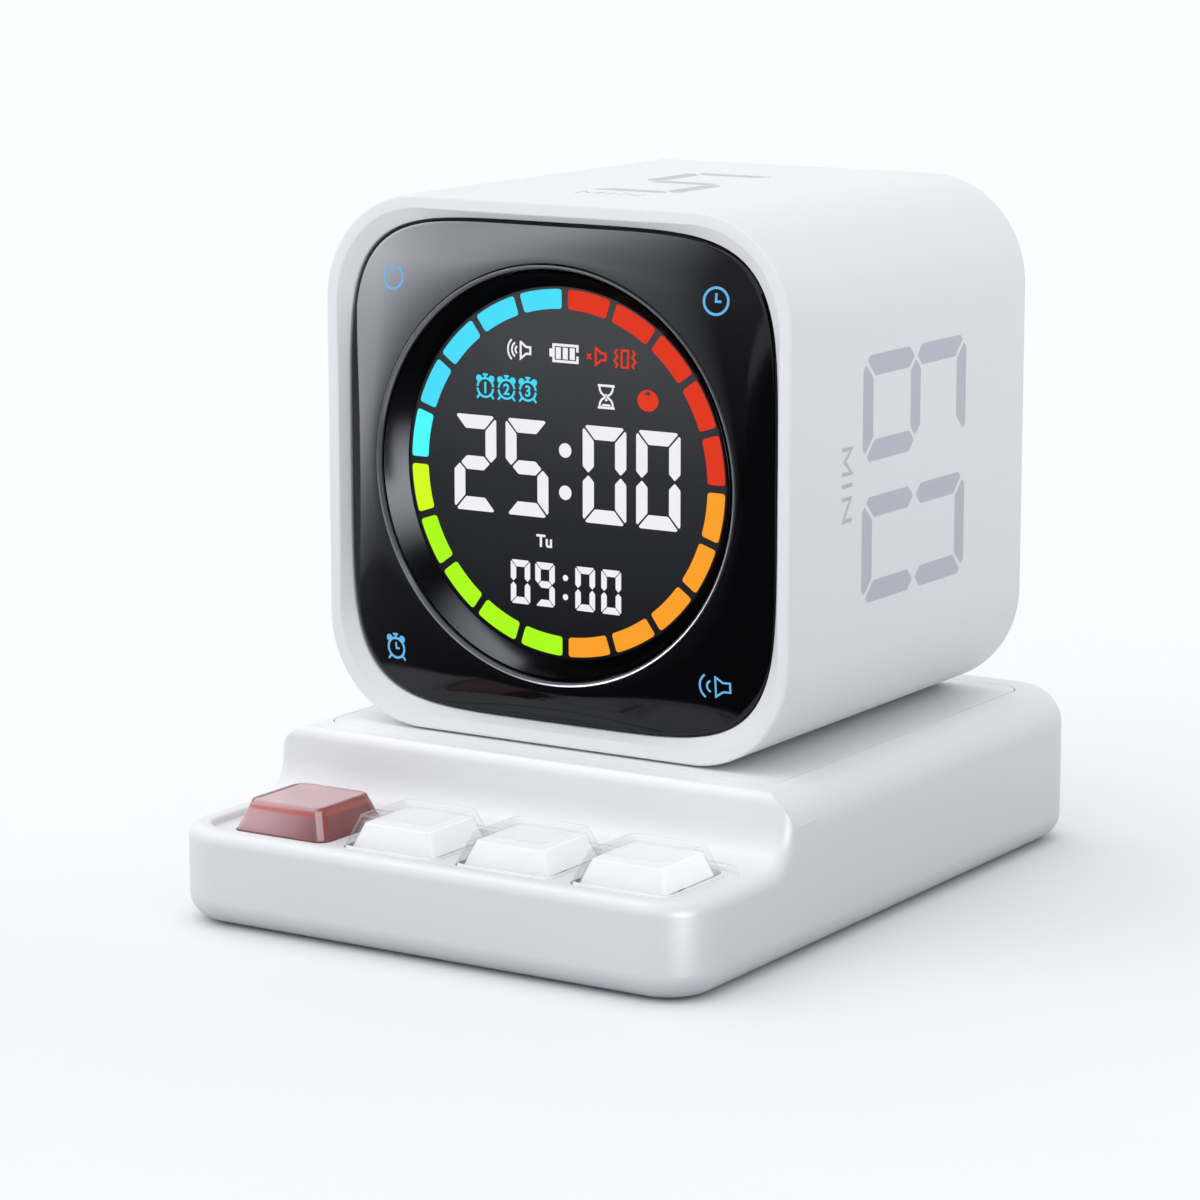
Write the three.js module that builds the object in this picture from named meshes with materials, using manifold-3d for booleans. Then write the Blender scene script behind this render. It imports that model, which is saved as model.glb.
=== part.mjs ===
// Cube timer: a rounded cube with a round lit display, standing on a base with four sprung keys.
// Millimetres. X runs right, Y to the back, Z up. The origin is on the table under the base's centre.
import * as THREE from 'three';
import { mergeVertices } from 'three/addons/utils/BufferGeometryUtils.js';
import Module from 'manifold-3d';

const wasm = await Module();
wasm.setup();

// Clearances
const seatGap = 0.1;
const partGap = 0.3;
const seamGap = 0.25;

// Key row and its low-profile switches
const keyCount = 4;
const keyPitch = 19.05;
const keyTravel = 2.8;
const keyTopWidth = 12.8;
const keyCorner = 2;
const keyRim = 0.75;
const keyDish = 0.4;
const keyShellWall = 1.2;
const keyShellTop = 0.9;
const keySkirtWall = 0.9;
const keySkirtLength = 2.8;
const keyCoreHeight = 3.25;
const keyWellGap = 0.4;
const switchWidth = 13.6;
const switchFloor = 0.6;
const switchWall = 1;
const switchRoof = 0.8;
const switchSplit = 2.7;
const stemFlange = 0.7;
const stemWidth = 7;
const stemDepth = 4.8;
const postWidth = 4;
const postDepth = 3;
const postHeight = 1.3;
const springRadius = 1.2;
const springWire = 0.36;
const springTurns = 4.5;
const springBore = 1.75;
const springBoreDepth = 2.9;

// Base
const footRadius = 5;
const footHeight = 1.1;
const footProud = 0.3;
const footInsetX = 12.6;
const footInsetY = 7.1;
const coverThickness = 2.35;
const boardStandoff = 1;
const boardThickness = 1.2;
const boardTongueWidth = 18;
const trayDepth = 0.8;
const trayCorner = 4;
const trayMargin = 1.6;
const trayFloorThickness = 1.6;
const ledgeSideRim = 5.2;
const ledgeFrontRim = 4.08;
const stepHeight = 9.95;
const stepCorner = 2;
const trayBackRim = 2.9;
const coveRadius = 5.2;
const baseCorner = 8.3;
const edgeFillet = 3.5;
const bottomFillet = 4;
const bottomLand = 0.6;
const housingWall = 2.2;
const housingRoof = 3.2;
const dockPlateInset = 0.85;
const dockPlateCorner = 3.5;
const dockPlateThickness = 1.6;
const dockFrontMargin = 4.32;
const dockBackMargin = 9.16;
const dockSideMargin = 5.5;
const cellWidth = 24;
const cellLength = 46;
const cellHeight = 8;
const cellCorner = 3;
const ribWidth = 1.2;
const ribHeight = 3.5;

// Cube
const cubeSize = 78.4;
const cubeDepth = 71.14;
const cubeCorner = 16;
const cubeEdge = 0.5;
const sleeveWall = 2.4;
const lipWidth = 3.2;
const lipFlat = 1.95;
const lipDrop = 1.55;
const panelPower = 5;
const panelCrown = 1.5;
const panelBack = 1.7;
const panelBorder = 5.4;
const ringWidth = 0.55;
const ringHeight = 3.3;
const coneWidth = 2.45;
const coneDepth = 3.15;
const windowThickness = 1;
const windowOverlap = 2.4;
const segmentCount = 20;
const segmentMargin = 0.4;
const segmentWidth = 3.1;
const segmentGap = 1.1;
const guideThickness = 1;
const guideRise = 0.9;
const guideLand = 0.7;
const framePlate = 2;
const framePostInset = 9.6;
const framePostRadius = 4;
const frameSpigotRadius = 2.5;
const packWidth = 46;
const packHeight = 36;
const packThickness = 9;
const packCorner = 3;
const packWall = 1.4;
const packWallHeight = 8.6;
const mainBoardMargin = 3.6;
const mainBoardCorner = 8;
const mainBoardSetback = 6.5;
const rearCoverThickness = 2;
const rearCoverRecess = 0.3;
const speakerRadius = 13.5;
const speakerDepth = 5.4;
const speakerY = 5;
const grilleSlots = 5;
const grillePitch = 4;
const grilleSlotWidth = 1.6;
const motorRadius = 5;
const motorThickness = 3;
const motorX = 18;
const motorY = -16;

// Sockets and screws
const socketWidth = 9;
const socketHeight = 3.2;
const socketWall = 0.35;
const socketLength = 8;
const socketFloor = 2;
const socketTongue = 0.7;
const socketTongueWidth = 6.4;
const socketTongueSetback = 1.2;
const socketGap = 0.4;
const socketInset = 0.8;
const cubeSocketY = -24;
const screwRadius = 1;
const screwLength = 6.4;
const screwHeadRadius = 2.2;
const screwHeadHeight = 0.9;
const screwSlotWidth = 0.6;
const screwSlotDepth = 0.45;
const bossRadius = 3.4;
const bossInset = 7;
const padHeight = 1.2;

// Heights in the base, from the table up
const coverTop = footProud + coverThickness;
const boardBottom = coverTop + boardStandoff;
const boardTop = boardBottom + boardThickness;
const switchBottom = boardTop + seatGap;
const switchFloorTop = switchBottom + switchFloor;
const flangeBottom = switchFloorTop + 2 * seatGap + keyTravel;
const flangeTop = flangeBottom + stemFlange;
const switchCeiling = flangeTop + seatGap;
const switchTop = switchCeiling + switchRoof;
const coreBottom = switchTop + keyTravel + partGap;
const coreTop = coreBottom + keyCoreHeight;
const keyTop = coreTop + seamGap + keyShellTop;
const keyBottom = coreBottom - keySkirtLength;
const trayFloor = coreBottom + 2 * seatGap;
const ledgeTop = trayFloor + trayDepth;
const platformTop = ledgeTop + stepHeight;

// Widths and depths of the base, from what it carries
const skirtInner = switchWidth / 2 + keyWellGap;
const skirtHalf = skirtInner + keySkirtWall;
const wellHalf = skirtHalf + keyWellGap;
const trayHalf = wellHalf + trayMargin;
const rowHalf = keyPitch * (keyCount - 1) / 2;
const dockPlateSize = cubeSize - 2 * dockPlateInset;
const keyedWidth = 2 * (rowHalf + trayHalf + ledgeSideRim);
const dockedWidth = dockPlateSize + 2 * dockSideMargin;
const baseWidth = Math.max(keyedWidth, dockedWidth);
const ledgeDepth = ledgeFrontRim + 2 * trayHalf + trayBackRim;
const baseDepth = ledgeDepth + dockFrontMargin + dockPlateSize + dockBackMargin;
const frontY = -baseDepth / 2;
const backY = baseDepth / 2;
const keyRowY = frontY + ledgeFrontRim + trayHalf;
const stepY = frontY + ledgeDepth;
const dockY = stepY + dockFrontMargin + dockPlateSize / 2;
const innerHalfWidth = baseWidth / 2 - housingWall;
const coverInset = bottomFillet + bottomLand;
const innerBackY = backY - housingWall;
const innerStepY = stepY + housingWall;
const bossX = innerHalfWidth - bossInset;
const bossFrontY = innerStepY + bossRadius + partGap;
const bossBackY = innerBackY - bossInset;
const bossBottom = coverTop + padHeight + seatGap;
const mouthWidth = socketWidth + 2 * socketGap;
const mouthHeight = socketHeight + 2 * socketGap;

// Places in the cube's own frame: x right, y up, z towards the viewer, from the cube's centre
const cubeHalf = cubeSize / 2;
const cubeFront = cubeDepth / 2;
const cubeBack = -cubeDepth / 2;
const cubeCentreZ = platformTop + partGap + cubeHalf;
const sleeveInner = cubeHalf - sleeveWall;
const sleeveInnerCorner = cubeCorner - sleeveWall;
const panelHalf = cubeHalf - lipWidth;
const panelEdge = cubeFront - lipDrop;
const panelRear = panelEdge - panelBack;
const panelHole = panelHalf - panelBorder;
const ringOuter = panelHole - partGap;
const ringInner = ringOuter - ringWidth;
const ringFront = panelEdge + panelCrown + partGap;
const coneOuter = ringInner - partGap;
const coneInner = coneOuter - coneWidth;
const windowRadius = coneInner + windowOverlap;
const windowFront = ringFront - partGap - coneDepth - 2 * seatGap - partGap;
const coneFoot = windowFront + partGap;
const windowBack = windowFront - windowThickness;
const guideFront = windowBack - partGap;
const guideLandFront = guideFront - guideRise;
const guideBack = guideLandFront - guideThickness;
const displayBoardFront = guideBack - partGap;
const displayBoardBack = displayBoardFront - boardThickness;
const framePlateFront = displayBoardBack - partGap;
const framePlateBack = framePlateFront - framePlate;
const frameFront = panelRear - partGap;
const frameHalf = sleeveInner - partGap;
const frameCorner = sleeveInnerCorner - partGap;
const postOffset = sleeveInner - framePostInset;
const rearCoverBack = cubeBack + rearCoverRecess;
const rearCoverFront = rearCoverBack + rearCoverThickness;
const mainBoardBack = rearCoverFront + mainBoardSetback;
const mainBoardFront = mainBoardBack + boardThickness;
const segmentOuter = coneInner - segmentMargin;
const segmentInner = segmentOuter - segmentWidth;

// Facet counts
const cornerSteps = 6;
const smallSteps = 3;
const filletSteps = 4;
const cellSteps = 2;
const sideSteps = 6;
const roundSides = 48;
const smallSides = 10;
const lensSteps = 2;
const springSteps = 8;
const springSides = 5;
const weld = 1e-4;

const degrees = Math.PI / 180;

function arc(x, y, radius, from, to, steps) {
  return Array.from({ length: steps + 1 }, (_, i) => {
    const angle = (from + (to - from) * i / steps) * degrees;
    return new THREE.Vector2(x + radius * Math.cos(angle), y + radius * Math.sin(angle));
  });
}

// Rounded rectangle round (0, 0), with one radius at the two front corners and one at the back.
function roundedRect(width, depth, frontRadius, backRadius = frontRadius, steps = cornerSteps) {
  const corners = [[1, -1, frontRadius], [1, 1, backRadius], [-1, 1, backRadius], [-1, -1, frontRadius]];
  return corners.flatMap(([sideX, sideY, radius], i) => arc(
    sideX * (width / 2 - radius), sideY * (depth / 2 - radius), radius, 90 * i - 90, 90 * i, steps,
  ));
}

// Rounded square with extra points along its straight sides, so that it can pass over to other outlines.
function roundedSquare(half, radius) {
  const corners = [[1, -1], [1, 1], [-1, 1], [-1, -1]];
  const reach = half - radius;
  return corners.flatMap(([sideX, sideY], i) => {
    const bend = arc(sideX * reach, sideY * reach, radius, 90 * i - 90, 90 * i, cornerSteps);
    const next = corners[(i + 1) % corners.length];
    const from = bend[bend.length - 1];
    const way = new THREE.Vector2(next[0] - sideX, next[1] - sideY).multiplyScalar(reach);
    const side = Array.from({ length: sideSteps - 1 }, (_, s) => (
      from.clone().addScaledVector(way, (s + 1) / sideSteps)
    ));
    return [...bend, ...side];
  });
}

// The points of an outline sent out along their own directions to a superellipse, or to a circle.
function superellipseOn(outline, half, power) {
  return outline.map((point) => {
    const angle = point.angle();
    const norm = Math.abs(Math.cos(angle)) ** power + Math.abs(Math.sin(angle)) ** power;
    return new THREE.Vector2(Math.cos(angle), Math.sin(angle)).multiplyScalar(half * norm ** (-1 / power));
  });
}

// Rounded rectangle of a small piece, with the same radius at every corner.
function smallRect(width, depth, radius) {
  return roundedRect(width, depth, radius, radius, smallSteps);
}

function atHeight(outline, z, x = 0, y = 0) {
  return outline.map((point) => new THREE.Vector3(point.x + x, point.y + y, z));
}

function capTriangles(ring) {
  const normal = new THREE.Vector3();
  ring.forEach((point, i) => {
    normal.add(new THREE.Vector3().crossVectors(point, ring[(i + 1) % ring.length]));
  });
  const across = ring[Math.floor(ring.length / 3)].clone().sub(ring[0]).normalize();
  const up = normal.clone().cross(across).normalize();
  const flat = ring.map((point) => new THREE.Vector2(point.dot(across), point.dot(up)));
  return THREE.ShapeUtils.triangulateShape(flat, []);
}

// A closed body through rings of equal count, capped at both ends or joined end to end.
function loft(rings, joined = false) {
  const count = rings[0].length;
  const spans = joined ? rings.length : rings.length - 1;
  const index = [];
  for (let r = 0; r < spans; r += 1) {
    const a = r * count;
    const b = ((r + 1) % rings.length) * count;
    for (let i = 0; i < count; i += 1) {
      const j = (i + 1) % count;
      index.push(a + i, a + j, b + j, a + i, b + j, b + i);
    }
  }
  if (!joined) {
    const last = (rings.length - 1) * count;
    capTriangles(rings[0]).forEach(([a, b, c]) => index.push(c, b, a));
    capTriangles(rings[rings.length - 1]).forEach(([a, b, c]) => index.push(last + a, last + b, last + c));
  }
  const geometry = new THREE.BufferGeometry();
  const positions = rings.flat().flatMap((point) => point.toArray());
  geometry.setAttribute('position', new THREE.Float32BufferAttribute(positions, 3));
  geometry.setIndex(index);
  return solid(geometry);
}

// A three.js geometry as a solid: corners welded, empty triangles dropped, faces turned outwards.
function solid(source) {
  const bare = source.clone();
  bare.deleteAttribute('normal');
  bare.deleteAttribute('uv');
  const welded = mergeVertices(bare, weld);
  const position = welded.attributes.position;
  const corner = (i) => new THREE.Vector3().fromBufferAttribute(position, i);
  const faces = [];
  let volume = 0;
  for (let t = 0; t < welded.index.count; t += 3) {
    const [a, b, c] = [0, 1, 2].map((k) => welded.index.getX(t + k));
    if (a !== b && b !== c && c !== a) {
      faces.push([a, b, c]);
      volume += corner(a).dot(corner(b).cross(corner(c)));
    }
  }
  const outward = volume > 0 ? faces : faces.map(([a, b, c]) => [c, b, a]);
  return new wasm.Manifold(new wasm.Mesh({
    numProp: 3,
    vertProperties: new Float32Array(position.array),
    triVerts: new Uint32Array(outward.flat()),
  }));
}

function joined(...bodies) {
  return bodies.reduce((whole, body) => whole.add(body));
}

function cut(body, ...tools) {
  return tools.reduce((rest, tool) => rest.subtract(tool), body);
}

function block(width, depth, z0, z1, x = 0, y = 0) {
  return solid(new THREE.BoxGeometry(width, depth, z1 - z0).translate(x, y, (z0 + z1) / 2));
}

function rod(radius, z0, z1, x = 0, y = 0, sides = smallSides) {
  const geometry = new THREE.CylinderGeometry(radius, radius, z1 - z0, sides).rotateX(Math.PI / 2);
  return solid(geometry.translate(x, y, (z0 + z1) / 2));
}

function disc(radius, z0, z1) {
  return rod(radius, z0, z1, 0, 0, roundSides);
}

function prism(outline, z0, z1, x = 0, y = 0) {
  return loft([atHeight(outline, z0, x, y), atHeight(outline, z1, x, y)]);
}

// A ring or disc turned about Z from a closed list of [radius, height].
function turned(profile, sides = roundSides) {
  const points = profile.map(([radius, height]) => new THREE.Vector2(radius, height));
  return solid(new THREE.LatheGeometry(points, sides).rotateX(Math.PI / 2));
}

function slot(width, height, z0, z1, x = 0, y = 0) {
  return prism(smallRect(width, height, height / 2 - weld), z0, z1, x, y);
}

// An outline lifted to a slab whose top and bottom edges are rounded by quarter circles.
function filletedSlab(outline, z0, z1, lower, upper, steps = filletSteps) {
  const turns = Array.from({ length: steps + 1 }, (_, i) => 90 * degrees * i / steps);
  const rounded = turns.map((turn) => atHeight(
    outline(lower * (1 - Math.sin(turn))), z0 + lower * (1 - Math.cos(turn)),
  ));
  const foot = lower > 0 ? rounded : [atHeight(outline(0), z0)];
  const head = turns.map((turn) => atHeight(
    outline(upper * (1 - Math.cos(turn))), z1 - upper * (1 - Math.sin(turn)),
  ));
  return loft([...foot, ...head]);
}

// Materials, by finish
function finish(color, roughness, metalness = 0, opacity = 1) {
  return new THREE.MeshStandardMaterial({ color, roughness, metalness, opacity, transparent: opacity < 1 });
}

const whitePlastic = finish(0xeceef1, 0.45);
const blackGloss = finish(0x0b0b0d, 0.12);
const silver = finish(0xc9cbd0, 0.22, 1);
const smokedWindow = finish(0x2c2d31, 0.1);
const lightGuide = finish(0xe8efe6, 0.3, 0, 0.6);
const clearShell = finish(0xf4f6f8, 0.08, 0, 0.3);
const redShell = finish(0xd8553f, 0.08, 0, 0.45);
const coreWhite = finish(0xf6f6f6, 0.5);
const switchBlack = finish(0x2b2c2f, 0.5);
const stemWhite = finish(0xe2e2de, 0.45);
const steel = finish(0xb4b7bc, 0.35, 1);
const boardGreen = finish(0x1d5a3c, 0.55);
const frameGrey = finish(0x9a9da2, 0.6);
const cellWrap = finish(0x6f8fae, 0.4);
const rubber = finish(0x3a3b3d, 0.9);

const cubeTimer = new THREE.Group();
const cube = new THREE.Group();
cube.position.set(0, dockY, cubeCentreZ);
cube.rotation.x = Math.PI / 2;
cubeTimer.add(cube);

function place(name, body, material, parent = cubeTimer) {
  const mesh = body.getMesh();
  const geometry = new THREE.BufferGeometry();
  geometry.setAttribute('position', new THREE.Float32BufferAttribute(mesh.vertProperties, 3));
  geometry.setIndex(new THREE.Uint32BufferAttribute(mesh.triVerts, 1));
  const piece = new THREE.Mesh(geometry, material);
  piece.name = name;
  parent.add(piece);
}

const keyXs = Array.from({ length: keyCount }, (_, i) => keyPitch * i - rowHalf);
const pairs = [[-1, -1], [1, -1], [-1, 1], [1, 1]];
const screwSpots = [-bossX, bossX].flatMap((x) => [[x, bossFrontY], [x, bossBackY]]);

// Outer form of the base: the ledge, the platform behind it, and the hollow sweep between the two.
function footprint(inset) {
  return roundedRect(baseWidth - 2 * inset, baseDepth - 2 * inset, baseCorner - inset);
}

function platformOutline(inset, frontEdge = stepY) {
  const depth = backY - frontEdge;
  const middle = new THREE.Vector2(0, (backY + frontEdge) / 2);
  const front = Math.max(stepCorner - inset, 0);
  const outline = roundedRect(baseWidth - 2 * inset, depth - 2 * inset, front, baseCorner - inset);
  return outline.map((point) => point.add(middle));
}

function coveRing(x, inset) {
  const centreY = stepY - coveRadius;
  const sweep = arc(centreY, ledgeTop + coveRadius, coveRadius + inset, -90, 0, filletSteps);
  const buried = [
    [stepY + 2 * edgeFillet, ledgeTop + coveRadius],
    [stepY + 2 * edgeFillet, ledgeTop - 2 * edgeFillet],
    [centreY, ledgeTop - 2 * edgeFillet],
  ];
  const outline = [...sweep, ...buried.map(([y, z]) => new THREE.Vector2(y, z))];
  return outline.map((point) => new THREE.Vector3(x, point.x, point.y));
}

function cove() {
  const reach = baseWidth / 2 - stepCorner;
  const stations = Array.from({ length: filletSteps + 1 }, (_, i) => 90 * degrees * i / filletSteps);
  const right = stations.map((turn) => (
    [reach + stepCorner * Math.sin(turn), stepCorner * (1 - Math.cos(turn))]
  ));
  const left = right.map(([x, inset]) => [-x, inset]).reverse();
  return loft([...left, ...right].map(([x, inset]) => coveRing(x, inset)));
}

function baseHousing() {
  const ledge = filletedSlab(footprint, footProud, ledgeTop, bottomFillet, stepCorner);
  const platformFoot = ledgeTop - 2 * edgeFillet;
  const sides = filletedSlab((inset) => platformOutline(inset, frontY), platformFoot, platformTop, 0, edgeFillet);
  const front = filletedSlab(platformOutline, platformFoot, platformTop, 0, stepCorner);
  const platform = sides.intersect(front);
  const innerCorner = baseCorner - housingWall;
  const roomDepth = innerBackY - innerStepY;
  const room = prism(
    roundedRect(2 * innerHalfWidth, roomDepth, housingWall, innerCorner),
    coverTop, platformTop - housingRoof, 0, innerStepY + roomDepth / 2,
  );
  const keyRoom = prism(
    roundedRect(2 * innerHalfWidth, baseDepth - 2 * housingWall, innerCorner),
    coverTop, trayFloor - trayFloorThickness,
  );
  const opening = prism(footprint(coverInset), 0, coverTop + seatGap);
  const trayOutline = roundedRect(2 * (rowHalf + trayHalf), 2 * trayHalf, trayCorner);
  const tray = prism(trayOutline, trayFloor, platformTop, 0, keyRowY);
  const wells = keyXs.map((x) => prism(
    smallRect(2 * wellHalf, 2 * wellHalf, keyCorner + keyWellGap), keyBottom, platformTop, x, keyRowY,
  ));
  const seat = dockPlateSize + 2 * seamGap;
  const dock = prism(
    smallRect(seat, seat, dockPlateCorner + seamGap),
    platformTop - dockPlateThickness - seatGap, platformTop + 1, 0, dockY,
  );
  const mouth = slot(mouthWidth, mouthHeight, -backY - 1, -innerBackY + 1)
    .rotate([90, 0, 0])
    .translate([0, 0, boardTop + seatGap + socketHeight / 2]);
  const bossTop = platformTop - housingRoof + seatGap;
  const bosses = screwSpots.map(([x, y]) => rod(bossRadius, bossBottom, bossTop, x, y));
  const pilots = screwSpots.map(([x, y]) => rod(screwRadius + seamGap, 0, bossBottom + screwLength, x, y));
  const shell = cut(joined(ledge, platform, cove()), room, keyRoom, opening, tray, ...wells, dock, mouth);
  return cut(joined(shell, ...bosses), ...pilots);
}

place('base_housing', baseHousing(), whitePlastic);

const coverHalfWidth = baseWidth / 2 - coverInset - partGap;
const coverHalfDepth = baseDepth / 2 - coverInset - partGap;
const footX = coverHalfWidth - footInsetX;
const footY = coverHalfDepth - footInsetY;
const footSpots = pairs.map(([sx, sy]) => [sx * footX, sy * footY]);
const cellX = boardTongueWidth / 2 + partGap + ribWidth + partGap + cellWidth / 2;

function baseCover() {
  const plate = prism(footprint(coverInset + partGap), footProud, coverTop);
  const pads = screwSpots.map(([x, y]) => rod(bossRadius, coverTop - seatGap, coverTop + padHeight, x, y));
  const standoffs = [[-rowHalf, keyRowY], [rowHalf, keyRowY], [0, bossBackY]]
    .map(([x, y]) => rod(bossRadius, coverTop - seatGap, boardBottom - seatGap, x, y));
  const around = partGap + ribWidth;
  const ribOuter = smallRect(cellWidth + 2 * around, cellLength + 2 * around, cellCorner + around);
  const ribInner = smallRect(cellWidth + 2 * partGap, cellLength + 2 * partGap, cellCorner + partGap);
  const rib = prism(ribOuter, coverTop - seatGap, coverTop + ribHeight, cellX, dockY);
  const pocket = prism(ribInner, coverTop, coverTop + ribHeight + 1, cellX, dockY);
  const recesses = footSpots.map(([x, y]) => rod(
    footRadius + partGap, 0, footHeight + seatGap, x, y,
  ));
  const bores = screwSpots.map(([x, y]) => rod(screwRadius + seamGap, 0, bossBottom + 1, x, y));
  const sinks = screwSpots.map(([x, y]) => rod(screwHeadRadius + partGap, 0, coverTop, x, y));
  return cut(joined(plate, ...pads, ...standoffs, rib), pocket, ...recesses, ...bores, ...sinks);
}

place('base_cover', baseCover(), whitePlastic);

function foot(x, y) {
  const edge = footHeight / 4;
  const side = [[footRadius, edge], [footRadius, footHeight]];
  const profile = [[0, 0], [footRadius - edge, 0], ...side, [0, footHeight]];
  return turned(profile, smallSides).translate([x, y, 0]);
}

footSpots.forEach(([x, y], i) => place(`foot_${i + 1}`, foot(x, y), rubber));

// A pan-head screw with a straight slot, its tip up and the underside of its head at z.
function screw(x, y, z) {
  const head = turned([
    [0, z - screwHeadHeight], [screwHeadRadius * 0.8, z - screwHeadHeight],
    [screwHeadRadius, z - screwHeadHeight / 2], [screwHeadRadius, z],
    [screwRadius, z], [screwRadius, z + screwLength - screwRadius],
    [screwRadius / 2, z + screwLength], [0, z + screwLength],
  ], smallSides);
  const groove = block(
    3 * screwHeadRadius, screwSlotWidth, z - screwHeadHeight - 1, z - screwHeadHeight + screwSlotDepth,
  );
  return cut(head, groove).translate([x, y, 0]);
}

screwSpots.forEach(([x, y], i) => place(`base_screw_${i + 1}`, screw(x, y, coverTop - seatGap), steel));

place('dock_plate', prism(
  smallRect(dockPlateSize, dockPlateSize, dockPlateCorner),
  platformTop - dockPlateThickness, platformTop, 0, dockY,
), whitePlastic);

// The key board: a wide head under the keys and a tongue that runs back to the charging socket.
function baseBoard() {
  const headWidth = 2 * (rowHalf + wellHalf);
  const headFront = keyRowY - wellHalf;
  const headBack = keyRowY + wellHalf;
  const tongueBack = coverHalfDepth;
  const half = boardTongueWidth / 2;
  const outline = [
    [-headWidth / 2, headFront], [headWidth / 2, headFront], [headWidth / 2, headBack], [half, headBack],
    [half, tongueBack], [-half, tongueBack], [-half, headBack], [-headWidth / 2, headBack],
  ].map(([x, y]) => new THREE.Vector2(x, y));
  return prism(outline, boardBottom, boardTop);
}

place('base_board', baseBoard(), boardGreen);
place('base_cell', filletedSlab(
  (inset) => smallRect(cellWidth - 2 * inset, cellLength - 2 * inset, cellCorner - inset)
    .map((point) => point.add(new THREE.Vector2(cellX, dockY))),
  coverTop + seatGap, coverTop + seatGap + cellHeight, cellCorner / 2, cellCorner / 2, cellSteps,
), cellWrap);

// A charging socket along +Z from z = 0: a rounded metal can, open at its mouth, with its tongue inside.
function socket() {
  const can = slot(socketWidth, socketHeight, 0, socketLength);
  const hollowWidth = socketWidth - 2 * socketWall;
  const hollow = slot(hollowWidth, socketHeight - 2 * socketWall, socketFloor, socketLength + 1);
  const tongueEnd = socketLength - socketTongueSetback;
  const tongue = block(socketTongueWidth, socketTongue, socketFloor / 2, tongueEnd);
  return joined(cut(can, hollow), tongue);
}

place('base_usb_socket', socket().rotate([-90, 0, 0]).translate([
  0, backY - socketInset - socketLength, boardTop + seatGap + socketHeight / 2,
]), steel);

// One key and the low-profile switch under it
function switchHousing(x) {
  const body = block(switchWidth, switchWidth, switchBottom, switchBottom + switchSplit, x, keyRowY);
  const room = switchWidth - 2 * switchWall;
  return cut(body, block(room, room, switchFloorTop, switchTop, x, keyRowY));
}

function switchCap(x) {
  const bottom = switchBottom + switchSplit + seatGap;
  const half = switchWidth / 2;
  const outline = (inset) => smallRect(2 * (half - inset), 2 * (half - inset), switchWall - inset);
  const body = loft([
    atHeight(outline(0), bottom, x, keyRowY),
    atHeight(outline(0), switchCeiling, x, keyRowY),
    atHeight(outline(switchWall / 2), switchTop, x, keyRowY),
  ]);
  const room = switchWidth - 2 * switchWall;
  const window = block(stemWidth + 2 * partGap, stemDepth + 2 * partGap, bottom, switchTop + 1, x, keyRowY);
  return cut(body, block(room, room, bottom - 1, switchCeiling, x, keyRowY), window);
}

function switchStem(x) {
  const room = switchWidth - 2 * (switchWall + keyWellGap);
  const flange = block(room, room, flangeBottom, flangeTop, x, keyRowY);
  const body = block(stemWidth, stemDepth, flangeBottom, coreBottom - 2 * seatGap, x, keyRowY);
  const post = block(postWidth, postDepth, flangeTop, coreBottom - 2 * seatGap + postHeight, x, keyRowY);
  const bore = rod(springBore, 0, flangeBottom + springBoreDepth, x, keyRowY);
  return cut(joined(flange, body, post), bore);
}

const springFoot = switchFloorTop + seatGap + springWire / 2;
const springHead = flangeBottom + springBoreDepth - seatGap - springWire / 2;

function springPoint(turn) {
  const angle = 360 * degrees * turn;
  const rise = springFoot + (springHead - springFoot) * turn / springTurns;
  return new THREE.Vector3(springRadius * Math.cos(angle), springRadius * Math.sin(angle), rise);
}

function springPath() {
  const count = Math.round(springTurns * springSteps);
  return Array.from({ length: count + 1 }, (_, i) => springPoint(springTurns * i / count));
}

function returnSpring(x) {
  const path = springPath();
  const rings = path.map((point, i) => {
    const ahead = path[Math.min(i + 1, path.length - 1)];
    const behind = path[Math.max(i - 1, 0)];
    const along = ahead.clone().sub(behind).normalize();
    const out = new THREE.Vector3(point.x, point.y, 0).normalize();
    const side = new THREE.Vector3().crossVectors(along, out).normalize();
    const lift = new THREE.Vector3().crossVectors(side, along);
    const section = arc(0, 0, springWire / 2, 0, 360 - 360 / springSides, springSides - 1);
    return section.map((spoke) => new THREE.Vector3(x, keyRowY, 0).add(point)
      .addScaledVector(lift, spoke.x)
      .addScaledVector(side, spoke.y));
  });
  return loft(rings);
}

function springSelfGap() {
  const path = springPath();
  const apart = Math.round(springSteps / 2);
  const gaps = path.flatMap((point, i) => path.slice(i + apart).map((other) => point.distanceTo(other)));
  return Math.min(...gaps) - springWire;
}

console.log(`least gap between turns of a key spring: ${springSelfGap().toFixed(2)} mm`);

const keySlope = (skirtHalf - keyTopWidth / 2) / (keyTop - coreBottom);

function keyHalfAt(z) {
  return skirtHalf - keySlope * Math.max(z - coreBottom, 0);
}

function keyRing(half, corner, z, x) {
  return atHeight(smallRect(2 * half, 2 * half, corner), z, x, keyRowY);
}

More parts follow.
